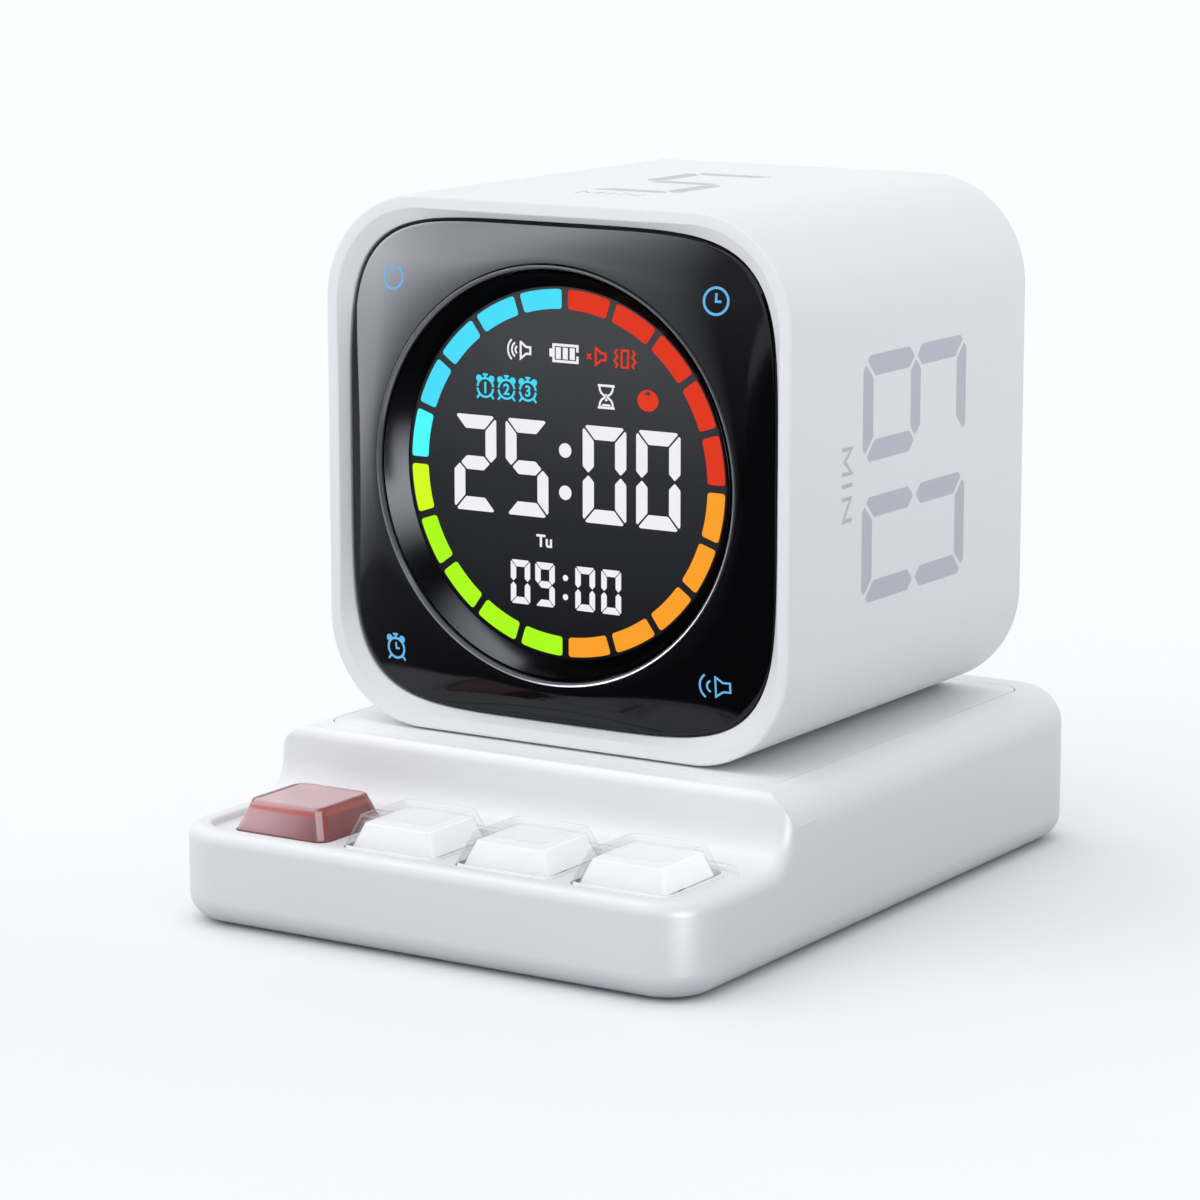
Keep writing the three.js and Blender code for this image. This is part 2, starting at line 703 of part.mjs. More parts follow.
function keyShell(x) {
  const topHalf = keyTopWidth / 2;
  const rimHalf = topHalf - keyRim;
  const outer = loft([
    keyRing(skirtHalf, keyCorner, keyBottom, x),
    keyRing(skirtHalf, keyCorner, coreBottom, x),
    keyRing(keyHalfAt(keyTop - keyRim / 2), keyCorner, keyTop - keyRim / 2, x),
    keyRing(topHalf - keyRim / 4, keyCorner, keyTop, x),
    keyRing(rimHalf, keyCorner - keyRim, keyTop - keyDish / 4, x),
    keyRing(rimHalf * 0.75, keyCorner / 2, keyTop - keyDish * 0.7, x),
    keyRing(rimHalf * 0.4, keyCorner / 3, keyTop - keyDish, x),
  ]);
  const inner = keyShellWall;
  const nest = loft([
    keyRing(keyHalfAt(coreBottom) - inner, keyCorner / 2, coreBottom - 2 * seatGap, x),
    keyRing(keyHalfAt(coreTop) - inner, keyCorner / 2, coreTop + seamGap, x),
  ]);
  const skirtOutline = smallRect(2 * skirtInner, 2 * skirtInner, keyCorner / 2);
  return cut(outer, nest, prism(skirtOutline, 0, coreBottom - seatGap, x, keyRowY));
}

function keyCore(x) {
  const step = keyShellWall + seamGap;
  const edge = keyRim / 2;
  const body = loft([
    keyRing(keyHalfAt(coreBottom) - step, keyCorner / 2, coreBottom, x),
    keyRing(keyHalfAt(coreTop - edge) - step, keyCorner / 2, coreTop - edge, x),
    keyRing(keyHalfAt(coreTop) - step - edge, keyCorner / 3, coreTop, x),
  ]);
  const pocketTop = coreBottom + postHeight;
  return cut(body, block(postWidth + 2 * partGap, postDepth + 2 * partGap, 0, pocketTop, x, keyRowY));
}

keyXs.forEach((x, i) => {
  const tag = i + 1;
  place(`switch_housing_${tag}`, switchHousing(x), switchBlack);
  place(`switch_top_${tag}`, switchCap(x), switchBlack);
  place(`switch_spring_${tag}`, returnSpring(x), steel);
  place(`switch_stem_${tag}`, switchStem(x), stemWhite);
  place(`key_core_${tag}`, keyCore(x), coreWhite);
  place(`key_shell_${tag}`, keyShell(x), i === 0 ? redShell : clearShell);
});

// The cube's casing: a rounded sleeve whose front lip is flat, then bevelled down to the panel.
function cubeSleeve() {
  const square = (inset, z) => atHeight(roundedSquare(cubeHalf - inset, cubeCorner - inset), z);
  const opening = (z) => atHeight(
    superellipseOn(roundedSquare(cubeHalf, cubeCorner), panelHalf + seamGap, panelPower), z,
  );
  const bend = cubeEdge * (1 - Math.SQRT1_2);
  return loft([
    square(sleeveWall, rearCoverBack),
    square(cubeEdge, cubeBack),
    square(bend, cubeBack + bend),
    square(0, cubeBack + cubeEdge),
    square(0, cubeFront - cubeEdge),
    square(bend, cubeFront - bend),
    square(cubeEdge, cubeFront),
    square(lipFlat, cubeFront),
    opening(panelEdge),
    opening(panelRear + seatGap),
    square(sleeveWall, panelRear),
  ], true);
}

// The crowned front panel: its outer edge is a superellipse and its hole a circle.
function frontPanel() {
  const base = roundedSquare(cubeHalf, cubeCorner);
  const edge = superellipseOn(base, panelHalf, panelPower);
  const rim = superellipseOn(base, panelHalf - seamGap, panelPower);
  const hole = superellipseOn(base, panelHole, 2);
  const across = (share) => rim.map((point, i) => point.clone().lerp(hole[i], share));
  const crown = [0, 0.2, 0.45, 0.7, 1].map((share) => atHeight(
    across(share), panelEdge + panelCrown * Math.sin(90 * degrees * share),
  ));
  const sides = [atHeight(edge, panelRear), atHeight(edge, panelEdge - seamGap)];
  return loft([...sides, ...crown, atHeight(hole, panelRear)], true);
}

function trimRing() {
  const back = ringFront - ringHeight;
  const edge = ringWidth / 4;
  return turned([
    [ringInner, back], [ringOuter, back], [ringOuter, ringFront - edge], [ringOuter - edge, ringFront],
    [ringInner + edge, ringFront], [ringInner, ringFront - edge], [ringInner, back],
  ]);
}

function bezelCone() {
  const top = coneFoot + coneDepth + seatGap;
  return turned([
    [coneInner, coneFoot], [coneOuter, coneFoot], [coneOuter, top],
    [coneOuter - seamGap, top], [coneInner, coneFoot + seatGap], [coneInner, coneFoot],
  ]);
}

// The light guide: a flat ring with one raised, round-cornered lens for each segment.
function segmentGuide() {
  const land = turned([
    [segmentInner - guideLand, guideBack], [segmentOuter + guideLand, guideBack],
    [segmentOuter + guideLand, guideLandFront], [segmentInner - guideLand, guideLandFront],
    [segmentInner - guideLand, guideBack],
  ]);
  const lenses = Array.from({ length: segmentCount }, (_, i) => {
    const middle = 90 - 360 / segmentCount * (i + 0.5);
    const halfOuter = 180 / segmentCount - segmentGap / 2 / segmentOuter / degrees;
    const halfInner = 180 / segmentCount - segmentGap / 2 / segmentInner / degrees;
    const outline = [
      ...arc(0, 0, segmentOuter, middle - halfOuter, middle + halfOuter, lensSteps),
      ...arc(0, 0, segmentInner, middle + halfInner, middle - halfInner, lensSteps),
    ];
    return prism(outline, guideLandFront - seatGap, guideFront);
  });
  return joined(land, ...lenses);
}

// The frame behind the panel: a round pocket for the display, four posts to the rear, a battery tray.
function innerFrame() {
  const outline = roundedRect(2 * frameHalf, 2 * frameHalf, frameCorner);
  const plate = prism(outline, framePlateBack, frameFront);
  const pocket = disc(windowRadius + partGap, framePlateFront, frameFront + 1);
  const shoulder = mainBoardFront + partGap;
  const posts = pairs.flatMap(([sx, sy]) => [
    rod(framePostRadius, shoulder, framePlateBack + seatGap, sx * postOffset, sy * postOffset),
    rod(frameSpigotRadius, rearCoverFront + partGap, shoulder + seatGap, sx * postOffset, sy * postOffset),
  ]);
  const pilots = pairs.map(([sx, sy]) => rod(
    screwRadius + seamGap, cubeBack, rearCoverFront + screwLength, sx * postOffset, sy * postOffset,
  ));
  const inner = smallRect(packWidth + 2 * partGap, packHeight + 2 * partGap, packCorner + partGap);
  const around = partGap + packWall;
  const outer = smallRect(packWidth + 2 * around, packHeight + 2 * around, packCorner + around);
  const wall = prism(outer, framePlateBack - packWallHeight, framePlateBack + seatGap);
  const tray = prism(inner, framePlateBack - packWallHeight - 1, framePlateBack);
  return cut(joined(plate, ...posts, wall), pocket, tray, ...pilots);
}

function mainBoard() {
  const half = sleeveInner - mainBoardMargin;
  const board = prism(smallRect(2 * half, 2 * half, mainBoardCorner), mainBoardBack, mainBoardFront);
  const holes = pairs.map(([sx, sy]) => rod(
    frameSpigotRadius + partGap, mainBoardBack - 1, mainBoardFront + 1, sx * postOffset, sy * postOffset,
  ));
  return cut(board, ...holes);
}

function rearCover() {
  const outline = roundedRect(2 * frameHalf, 2 * frameHalf, frameCorner);
  const plate = prism(outline, rearCoverBack, rearCoverFront);
  const spots = pairs.map(([sx, sy]) => [sx * postOffset, sy * postOffset]);
  const bores = spots.map(([x, y]) => rod(screwRadius + seamGap, cubeBack - 1, rearCoverFront + 1, x, y));
  const sinkTop = rearCoverBack + screwHeadHeight + 2 * seatGap;
  const sinks = spots.map(([x, y]) => rod(screwHeadRadius + partGap, cubeBack - 1, sinkTop, x, y));
  const mouth = slot(mouthWidth, mouthHeight, cubeBack - 1, rearCoverFront + 1, 0, cubeSocketY);
  const grille = Array.from({ length: grilleSlots }, (_, i) => {
    const offset = grillePitch * (i - (grilleSlots - 1) / 2);
    const length = 2 * Math.sqrt((speakerRadius * 0.8) ** 2 - offset ** 2);
    return slot(length, grilleSlotWidth, cubeBack - 1, rearCoverFront + 1, 0, speakerY + offset);
  });
  return cut(plate, ...bores, ...sinks, mouth, ...grille);
}

function speaker() {
  const front = rearCoverFront + partGap;
  const back = front + speakerDepth;
  return turned([
    [0, front + 1], [speakerRadius * 0.45, front + 0.6], [speakerRadius * 0.85, front + 1.4],
    [speakerRadius * 0.88, front], [speakerRadius, front], [speakerRadius, front + 2.2],
    [speakerRadius * 0.6, front + 3], [speakerRadius * 0.6, back], [0, back],
  ], roundSides / 2).translate([0, speakerY, 0]);
}

place('cube_sleeve', cubeSleeve(), whitePlastic, cube);
place('front_panel', frontPanel(), blackGloss, cube);
place('trim_ring', trimRing(), silver, cube);
place('bezel_cone', bezelCone(), blackGloss, cube);
place('display_window', disc(windowRadius, windowBack, windowFront), smokedWindow, cube);
place('segment_guide', segmentGuide(), lightGuide, cube);
place('display_board', disc(windowRadius, displayBoardBack, displayBoardFront), boardGreen, cube);
place('inner_frame', innerFrame(), frameGrey, cube);
place('battery_pack', filletedSlab(
  (inset) => smallRect(packWidth - 2 * inset, packHeight - 2 * inset, packCorner - inset),
  framePlateBack - partGap - packThickness, framePlateBack - partGap,
  packCorner / 2, packCorner / 2, cellSteps,
), cellWrap, cube);
place('main_board', mainBoard(), boardGreen, cube);
place('vibration_motor', rod(
  motorRadius, mainBoardFront + partGap, mainBoardFront + partGap + motorThickness, motorX, motorY,
), steel, cube);
place('speaker', speaker(), switchBlack, cube);
place('cube_usb_socket', socket().rotate([180, 0, 0]).translate([
  0, cubeSocketY, mainBoardBack - partGap,
]), steel, cube);
place('cube_rear_cover', rearCover(), whitePlastic, cube);
pairs.forEach(([sx, sy], i) => place(
  `cube_screw_${i + 1}`,
  screw(sx * postOffset, sy * postOffset, rearCoverBack + screwHeadHeight + seatGap),
  steel, cube,
));

export default cubeTimer;
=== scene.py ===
# %% [markdown]
# # A cube timer on its keyed base
# A white rounded cube with a round lit display stands on a white base with four see-through keys.
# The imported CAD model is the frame: every piece below is made in metres in that same frame, so it lands
# where the CAD says with no fitting. Sizes are written in millimetres and scaled once, when a mesh is made.

# %% Load the frame
import math

import bmesh
import bpy
import numpy as np
from mathutils import Matrix, Vector


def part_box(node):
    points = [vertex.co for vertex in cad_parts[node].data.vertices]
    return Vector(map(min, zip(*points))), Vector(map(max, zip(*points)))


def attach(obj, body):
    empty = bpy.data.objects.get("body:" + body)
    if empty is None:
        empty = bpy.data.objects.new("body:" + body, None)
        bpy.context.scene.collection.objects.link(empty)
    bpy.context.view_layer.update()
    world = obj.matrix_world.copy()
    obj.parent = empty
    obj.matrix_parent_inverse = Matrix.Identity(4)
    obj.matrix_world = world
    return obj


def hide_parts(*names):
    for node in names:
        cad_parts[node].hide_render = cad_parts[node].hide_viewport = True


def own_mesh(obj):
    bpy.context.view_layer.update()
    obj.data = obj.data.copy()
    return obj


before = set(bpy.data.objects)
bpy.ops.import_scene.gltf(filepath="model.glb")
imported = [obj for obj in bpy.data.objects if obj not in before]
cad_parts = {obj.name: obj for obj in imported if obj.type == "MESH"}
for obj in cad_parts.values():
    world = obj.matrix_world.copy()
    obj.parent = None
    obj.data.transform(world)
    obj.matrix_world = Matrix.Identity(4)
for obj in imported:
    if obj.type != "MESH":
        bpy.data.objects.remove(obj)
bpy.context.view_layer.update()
scene = bpy.context.scene
MM = 0.001

# %% [markdown]
# ## Where things are
# The outer sizes are read back from the frame. The inner heights and radii that a box can't tell, such as
# the top of the key ledge, are written here. They are the CAD's own driving sizes, apart from the key tray
# and the platform's edges, which were read off the photograph once more.

# %% Main sizes, in millimetres
housing_low, housing_high = (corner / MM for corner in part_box("base_housing"))
sleeve_low, sleeve_high = (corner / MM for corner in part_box("cube_sleeve"))
BASE_X, BASE_Y = housing_high.x, housing_high.y
BASE_FOOT, PLATFORM = housing_low.z, housing_high.z
COVER_TOP, STEP_HEIGHT, TRAY_DEPTH = 2.65, 9.95, 1.05
LEDGE = PLATFORM - STEP_HEIGHT
TRAY_FLOOR = LEDGE - TRAY_DEPTH
STEP_Y, KEY_Y = -31.5, -44.5
KEY_COUNT, KEY_PITCH = 4, 19.05
KEY_XS = [KEY_PITCH * (i - (KEY_COUNT - 1) / 2) for i in range(KEY_COUNT)]
KEY_LOW, KEY_TOP = (corner.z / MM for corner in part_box("key_shell_1"))
CORE_LOW, CORE_TOP = (corner.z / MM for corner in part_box("key_core_1"))
SKIRT, TOP_HALF, CORE_STEP = 8.1, 6.4, 1.15
KEY_SLOPE = (SKIRT - TOP_HALF) / (KEY_TOP - CORE_LOW)
DOCK_Y = (sleeve_low.y + sleeve_high.y) / 2
CUBE_Z = (sleeve_low.z + sleeve_high.z) / 2
CUBE_HALF = (sleeve_high.x - sleeve_low.x) / 2
CUBE_FRONT = (sleeve_high.y - sleeve_low.y) / 2
PANEL_SETBACK, RING_RISE, WINDOW_SETBACK, COVER_SETBACK = 1.55, 1.8, 3.95, 0.3
PANEL_EDGE = CUBE_FRONT - PANEL_SETBACK
RING_FRONT = PANEL_EDGE + RING_RISE
WINDOW_FRONT = RING_FRONT - WINDOW_SETBACK
BACK_W = -CUBE_FRONT + COVER_SETBACK


def in_cube(u, v, w):
    """A point of the cube (right, up, towards the viewer from its centre) in the frame."""
    return (u, DOCK_Y - w, CUBE_Z + v)


print(f"base {2 * BASE_X:.2f} x {2 * BASE_Y:.2f} mm, cube {2 * CUBE_HALF:.2f} mm, centre z {CUBE_Z:.2f}")

# %% [markdown]
# ## The camera
# The photograph's viewpoint was found by fitting a camera to the straight edges of the base and the cube.
# A long lens keeps the edges almost parallel, as in the photograph, and there is no shift and no blur.

# %% Camera
LENS, SENSOR = 124.92, 36
CAMERA_PLACE = (0.319095, -0.515589, 0.158046)
CAMERA_RIGHT = (0.84504, 0.53471, -0.00065)
CAMERA_UP = (-0.09995, 0.15916, 0.98218)
CAMERA_BACK = (0.52528, -0.82991, 0.18794)


def put(name, data):
    """A new object in the scene."""
    made = bpy.data.objects.new(name, data)
    scene.collection.objects.link(made)
    return made


camera = put("camera", bpy.data.cameras.new("camera"))
camera.data.lens, camera.data.sensor_width = LENS, SENSOR
camera.data.clip_start, camera.data.clip_end = 0.02, 40
aim = Matrix((CAMERA_RIGHT, CAMERA_UP, CAMERA_BACK)).transposed()
camera.matrix_world = Matrix.Translation(CAMERA_PLACE) @ aim.to_4x4()
scene.camera = camera
print("camera at", [round(c, 3) for c in camera.matrix_world.translation])

# %% [markdown]
# ## Plain arithmetic for node trees
# A finish is a sum of noises, masks and ramps. Written as Python expressions it stays readable, so one
# small class wraps a socket: its operators add Math nodes, and `node` adds any other kind of node. The same
# class serves the geometry trees further down.

# %% The wire class
def operator(operation, swapped=False):
    """A method for the class below that writes one arithmetic sign as a Math node."""

    def method(self, other):
        values = (other, self) if swapped else (self, other)
        return self.node("ShaderNodeMath", {"operation": operation}, dict(enumerate(values)))

    return method


class Wire:
    """One socket of a node tree that can be used in arithmetic."""

    __add__, __radd__ = operator("ADD"), operator("ADD", True)
    __sub__, __rsub__ = operator("SUBTRACT"), operator("SUBTRACT", True)
    __mul__, __rmul__ = operator("MULTIPLY"), operator("MULTIPLY", True)
    __truediv__, __rtruediv__ = operator("DIVIDE"), operator("DIVIDE", True)
    __pow__, __rpow__ = operator("POWER"), operator("POWER", True)

    def __init__(self, tree, socket=None):
        self.tree, self.socket = tree, socket

    def node(self, kind, settings=None, inputs=None, out=0):
        """A new node: its settings first, then the values or wires of its sockets."""
        made = self.tree.nodes.new(kind)
        for name, value in (settings or {}).items():
            if name == "stops":
                ramp = made.color_ramp
                while len(ramp.elements) < len(value):
                    ramp.elements.new(0.5)
                for element, (place, colour) in zip(ramp.elements, value):
                    element.position, element.color = place, colour
            elif name == "interpolation":
                made.color_ramp.interpolation = value
            else:
                setattr(made, name, value)
        for key, value in (inputs or {}).items():
            if isinstance(value, Wire):
                self.tree.links.new(value.socket, made.inputs[key])
            else:
                made.inputs[key].default_value = value
        return Wire(self.tree, made.outputs[out])

    def out(self, name):
        """Another output of the same node."""
        return Wire(self.tree, self.socket.node.outputs[name])

    def math(self, operation, *others):
        """A Math node that takes this value first."""
        return self.node("ShaderNodeMath", {"operation": operation}, dict(enumerate((self, *others))))

    def mix(self, a, b):
        """This value from 0 to 1 takes colour a over to colour b."""
        return self.node("ShaderNodeMix", {"data_type": "RGBA"}, {0: self, 6: a, 7: b}, 2)

    def span(self, low, high):
        """0 below low, 1 above high, straight between."""
        return self.node("ShaderNodeMapRange", {}, {"Value": self, "From Min": low, "From Max": high})

    def xyz(self):
        """The three parts of a vector."""
        part = self.node("ShaderNodeSeparateXYZ", {}, {"Vector": self})
        return part, part.out("Y"), part.out("Z")

    def vector(self, x=0.0, y=0.0, z=0.0):
        """A vector from its three parts."""
        return self.node("ShaderNodeCombineXYZ", {}, {"X": x, "Y": y, "Z": z})


print("wire class ready")

# %% Colours and materials
BLACK = (0, 0, 0, 1)


def shade(r, g, b):
    """A colour as it is picked from a screen, 0 to 255, in the linear values that Blender works in."""

    def linear(c):
        return c / 255 / 12.92 if c <= 10 else ((c / 255 + 0.055) / 1.055) ** 2.4

    return (linear(r), linear(g), linear(b), 1)


def darker(colour, share):
    return tuple(c * share for c in colour[:3]) + (1,)


def material(name, **fixed):
    """A new Principled material with its fixed values set, and a wire to build on."""
    made = bpy.data.materials.new(name)
    made.use_nodes = True
    shader = made.node_tree.nodes["Principled BSDF"]
    for socket, value in fixed.items():
        shader.inputs[socket.replace("_", " ")].default_value = value
    return made, Wire(made.node_tree), shader


def feed(shader, **wires):
    """Links wires to a shader's sockets, whose names are written with underscores."""
    for socket, wire in wires.items():
        wire.tree.links.new(wire.socket, shader.inputs[socket.replace("_", " ")])


def light_up(shader, colour):
    """Light of its own at a strength of 1, so that it renders as it is written."""
    shader.inputs["Emission Strength"].default_value = 1
    feed(shader, Emission_Color=colour)


def blend_surface(draw, share, first, second):
    """The material's surface goes over from one shader to another."""
    blend = draw.node("ShaderNodeMixShader", {}, {0: share, 1: first, 2: second})
    feed(draw.tree.nodes["Material Output"], Surface=blend)


def object_place(draw):
    """The place on a piece in its own coordinates, which it keeps when it moves."""
    return draw.node("ShaderNodeTexCoord", out="Object")


print("mid grey is", [round(c, 3) for c in shade(128, 128, 128)])

# %% [markdown]
# ## Light, background and floor
# The photograph is a bright studio picture: a large soft light from the upper left, a pale table that runs
# on for ever, and a soft shadow to the right. The world gives an even fill for matt surfaces, and white to
# the camera, to mirrors and to glass. One very wide light from above and a little to the left makes the soft
# shadow, and a weak one from the front opens it up. Both are as strong everywhere on the table, so the
# background stays even. The table throws less light back close to the object than further out.

# %% World
WHITE_SKY, FILL_SKY = shade(252, 253, 254), (0.735, 0.745, 0.77, 1)


def seen_rays(draw):
    """1 for what the camera, a mirror or glass sees, 0 for rays that only gather light."""
    ray = draw.node("ShaderNodeLightPath")
    seen = ray.out("Is Camera Ray") + ray.out("Is Glossy Ray") + ray.out("Is Transmission Ray")
    return seen.math("MINIMUM", 1)


world = bpy.data.worlds.new("studio")
scene.world = world
world.use_nodes = True
backing = world.node_tree.nodes["Background"]
backing.inputs["Strength"].default_value = 1
feed(backing, Color=seen_rays(Wire(world.node_tree)).mix(FILL_SKY, WHITE_SKY))
scene.view_settings.view_transform = "Standard"
print("world fill", FILL_SKY[:3])

# %% Lamps
LAMP_TINT = (1, 0.99, 0.98)


def lamp(name, kind, energy):
    made = put(name, bpy.data.lights.new(name, kind))
    made.data.energy = energy
    return made


def soft_sun(name, energy, spread, direction):
    """A light as wide as spread degrees, equally strong everywhere."""
    made = lamp(name, "SUN", energy)
    made.data.angle, made.data.color = math.radians(spread), LAMP_TINT
    made.rotation_euler = Vector(direction).to_track_quat("-Z", "Y").to_euler()
    return made


overhead = soft_sun("overhead_light", 1.1, 90, (0.36, 0.16, -0.92))
front_fill = soft_sun("front_light", 0.25, 70, (0.34, 0.82, -0.46))
print("lamps of strength", overhead.data.energy, "and", front_fill.data.energy)

# %% Floor
FLOOR_HALF = 9
SQUARE = ((-1, -1), (1, -1), (1, 1), (-1, 1))


def mesh_object(name, points, faces, scale=MM):
    mesh = bpy.data.meshes.new(name)
    mesh.from_pydata([tuple(c * scale for c in point) for point in points], [], faces)
    return put(name, mesh)


def sheet(name, corners, finish):
    """One four-cornered face, in metres."""
    made = mesh_object(name, corners, [(0, 1, 2, 3)], 1)
    made.data.materials.append(finish)
    return made


paper, draw, shader = material("pale_table", Roughness=0.9, Specular_IOR_Level=0.1)
place, seen = object_place(draw), seen_rays(draw)
grain = draw.node("ShaderNodeTexNoise", {}, {"Vector": place, "Scale": 6.0})
pale = grain.mix(shade(241, 242, 244), shade(243, 244, 246))
away = draw.node("ShaderNodeVectorMath", {"operation": "LENGTH"}, {0: place}, "Value")
# painted shade: for rays that only gather light the table is darker close to the object
bounce = away.span(0.06, 0.26).mix(shade(166, 168, 173), shade(255, 255, 255))
feed(shader, Base_Color=seen.mix(bounce, pale))
glow = draw.node("ShaderNodeEmission", {}, {"Color": WHITE_SKY, "Strength": 1.0})
blend_surface(draw, away.span(0.16, 0.9) * seen, Wire(draw.tree, shader.outputs[0]), glow)
floor = sheet("floor", [(x * FLOOR_HALF, y * FLOOR_HALF, 0) for x, y in SQUARE], paper)
print(f"floor of {2 * FLOOR_HALF} x {2 * FLOOR_HALF} m at z = 0")

# %% [markdown]
# ## Finishes
# Real moulded plastic is never one flat colour: it has a faint spark-eroded grain, slow changes of shade and
# a gloss that comes and goes. All patterns read Object coordinates, so they stay on the piece when it moves.

# %% Noise helpers
def object_noise(draw, size_mm, detail=2.0, stretch=(1, 1, 1)):
    """Noise whose lumps are about size_mm across, fixed to the piece."""
    place = draw.node("ShaderNodeMapping", {}, {"Vector": object_place(draw), "Scale": stretch})
    scale = 1 / (size_mm * MM)
    return draw.node("ShaderNodeTexNoise", {}, {"Vector": place, "Scale": scale, "Detail": detail})


def bump(draw, height, depth_mm):
    return draw.node("ShaderNodeBump", {}, {"Height": height, "Distance": depth_mm * MM, "Strength": 1.0})


def moulded(name, colour, spread, gloss, grain_mm=0.22, depth_mm=0.003):
    """Moulded plastic: slow changes of shade, fine spark-eroded grain, uneven gloss."""
    made, draw, shader = material(name)
    slow, fine = object_noise(draw, 26, 3), object_noise(draw, grain_mm, 2)
    feed(
        shader,
        Base_Color=(slow * 0.7 + fine * 0.3).mix(darker(colour, 1 - spread), colour),
        Roughness=gloss - 0.05 + 0.06 * slow + 0.06 * fine,
        Normal=bump(draw, fine, depth_mm),
    )
    return made


white_plastic = moulded("white_plastic", shade(237, 239, 242), 0.03, 0.42)
print("first finish:", white_plastic.name)

# %% Dark, metal and small-part finishes
def gloss_black(name, index, gloss):
    """Piano-black acrylic: almost a mirror, with faint wiping marks in its gloss."""
    made, draw, shader = material(name, IOR=index, Specular_Tint=(0.94, 0.95, 1, 1))
    smear, speck = object_noise(draw, 9, 4, (1, 1, 3)), object_noise(draw, 0.5, 1)
    feed(
        shader,
        Base_Color=smear.mix(shade(2, 2, 3), shade(5, 5, 6)),
        Roughness=gloss + 0.05 * smear + 0.02 * speck,
    )
    return made


def spun_silver():
    """Bright trim turned on a lathe: fine rings round the display's centre."""
    made, draw, shader = material("silver_trim", Metallic=0.35)
    centre = (0, 0, -CUBE_Z * MM)
    x, _, z = draw.node("ShaderNodeMapping", {}, {"Vector": object_place(draw), "Location": centre}).xyz()
    radius = (x * x + z * z) ** 0.5
    rings = draw.node("ShaderNodeTexNoise", {"noise_dimensions": "1D"}, {"W": radius / MM, "Scale": 14.0})
    feed(
        shader,
        Base_Color=rings.mix(shade(112, 114, 120), shade(126, 128, 134)),
        Roughness=0.12 + 0.1 * rings,
        Normal=bump(draw, rings, 0.004),
    )
    return made


def metal(name, colour, gloss):
    """Plated sheet or wire: cloudy plating and fine drawn scratches."""
    made, draw, shader = material(name, Metallic=1.0)
    cloud, scratch = object_noise(draw, 3, 3), object_noise(draw, 0.15, 2, (1, 1, 0.05))
    feed(
        shader,
        Base_Color=cloud.mix(darker(colour, 0.8), colour),
        Roughness=gloss + 0.1 * cloud + 0.1 * scratch,
        Normal=bump(draw, scratch, 0.004),
    )
    return made


def circuit_board():
    """Green solder mask over copper: fine parallel tracks show as a lighter relief."""
    made, draw, shader = material("board")
    x = object_place(draw).xyz()[0]
    tracks = (x * 5500 + object_noise(draw, 12, 1) * 9).math("PINGPONG", 1).span(0.35, 0.5)
    feed(
        shader,
        Base_Color=tracks.mix(shade(22, 74, 48), shade(44, 110, 72)),
        Roughness=0.35 + 0.2 * object_noise(draw, 1.1, 2),
        Normal=bump(draw, tracks, 0.02),
    )
    return made


def soft_rubber():
    """Dull black rubber with a pebbled skin."""
    made, draw, shader = material("rubber_foot")
    pebble = draw.node("ShaderNodeTexVoronoi", {}, {"Vector": object_place(draw), "Scale": 2200.0})
    dust = object_noise(draw, 4, 3)
    feed(
        shader,
        Base_Color=dust.mix(shade(44, 45, 47), shade(62, 63, 66)),
        Roughness=0.8 + 0.15 * dust,
        Normal=bump(draw, pebble, 0.03),
    )
    return made


black_gloss, black_funnel = gloss_black("black_gloss", 1.42, 0.04), gloss_black("black_funnel", 1.08, 0.14)
silver_trim = spun_silver()
steel = metal("steel", shade(190, 193, 198), 0.25)
board, rubber_foot = circuit_board(), soft_rubber()
frame_grey = moulded("frame_grey", shade(150, 153, 158), 0.06, 0.55, 0.3, 0.006)
cell_case = moulded("cell_case", shade(108, 140, 172), 0.1, 0.35, 0.8, 0.004)
switch_black = moulded("switch_black", shade(46, 47, 51), 0.15, 0.5, 0.2, 0.004)
key_white = moulded("key_white", shade(246, 247, 248), 0.02, 0.4, 0.2, 0.002)
light_guide = moulded("light_guide", shade(228, 236, 228), 0.04, 0.25, 0.4, 0.002)
ink_grey = moulded("ink_grey", shade(197, 200, 209), 0.04, 0.5, 0.15, 0.002)
print("finishes:", sorted(m.name for m in bpy.data.materials))

# %% [markdown]
# ## Clear acrylic
# The key caps are moulded in clear and in red acrylic. Thin clear plastic hardly bends what lies behind it,
# so it is made as a see-through body with a polished sheen that grows towards its edges, and a frosted skirt
# where it runs in its well. A slight painted glow on the white core and on the frosted skirt lifts them, and
# the clear caps' left walls get a painted grey shade. The red cap's painted highlights and painted shade,
# deeper to the right, are written by place on the key.

# %% Places on a key
def on_key(draw):
    """The place on a key: right and back from its middle, its height, and half its width at that height."""
    x, y, z = (part / MM for part in object_place(draw).xyz())
    x = (x - KEY_XS[0] + KEY_PITCH / 2).math("FLOORED_MODULO", KEY_PITCH) - KEY_PITCH / 2
    return x, y - KEY_Y, z, SKIRT - KEY_SLOPE * (z.math("MAXIMUM", CORE_LOW) - CORE_LOW)


def off_middle(x, y):
    """How far a point lies from the middle of a square, counted along its longer part."""
    return x.math("ABSOLUTE").math("MAXIMUM", y.math("ABSOLUTE"))


def frosted_skirt(draw):
    """1 on the outside of the part of a cap that runs in its well, apart from its left wall."""
    x, y, z, half = on_key(draw)
    outside = (off_middle(x, y) - half).span(-0.9, -0.7)
    return (1 - z.span(CORE_LOW + 0.3, CORE_LOW + 0.42)) * outside * x.span(-7.4, -7.0)


def painted_left_wall_shade(draw):
    """1 on the left wall of every key, where the clear caps get a painted grey shade."""
    return 1 - on_key(draw)[0].span(-7.2, -5.8)


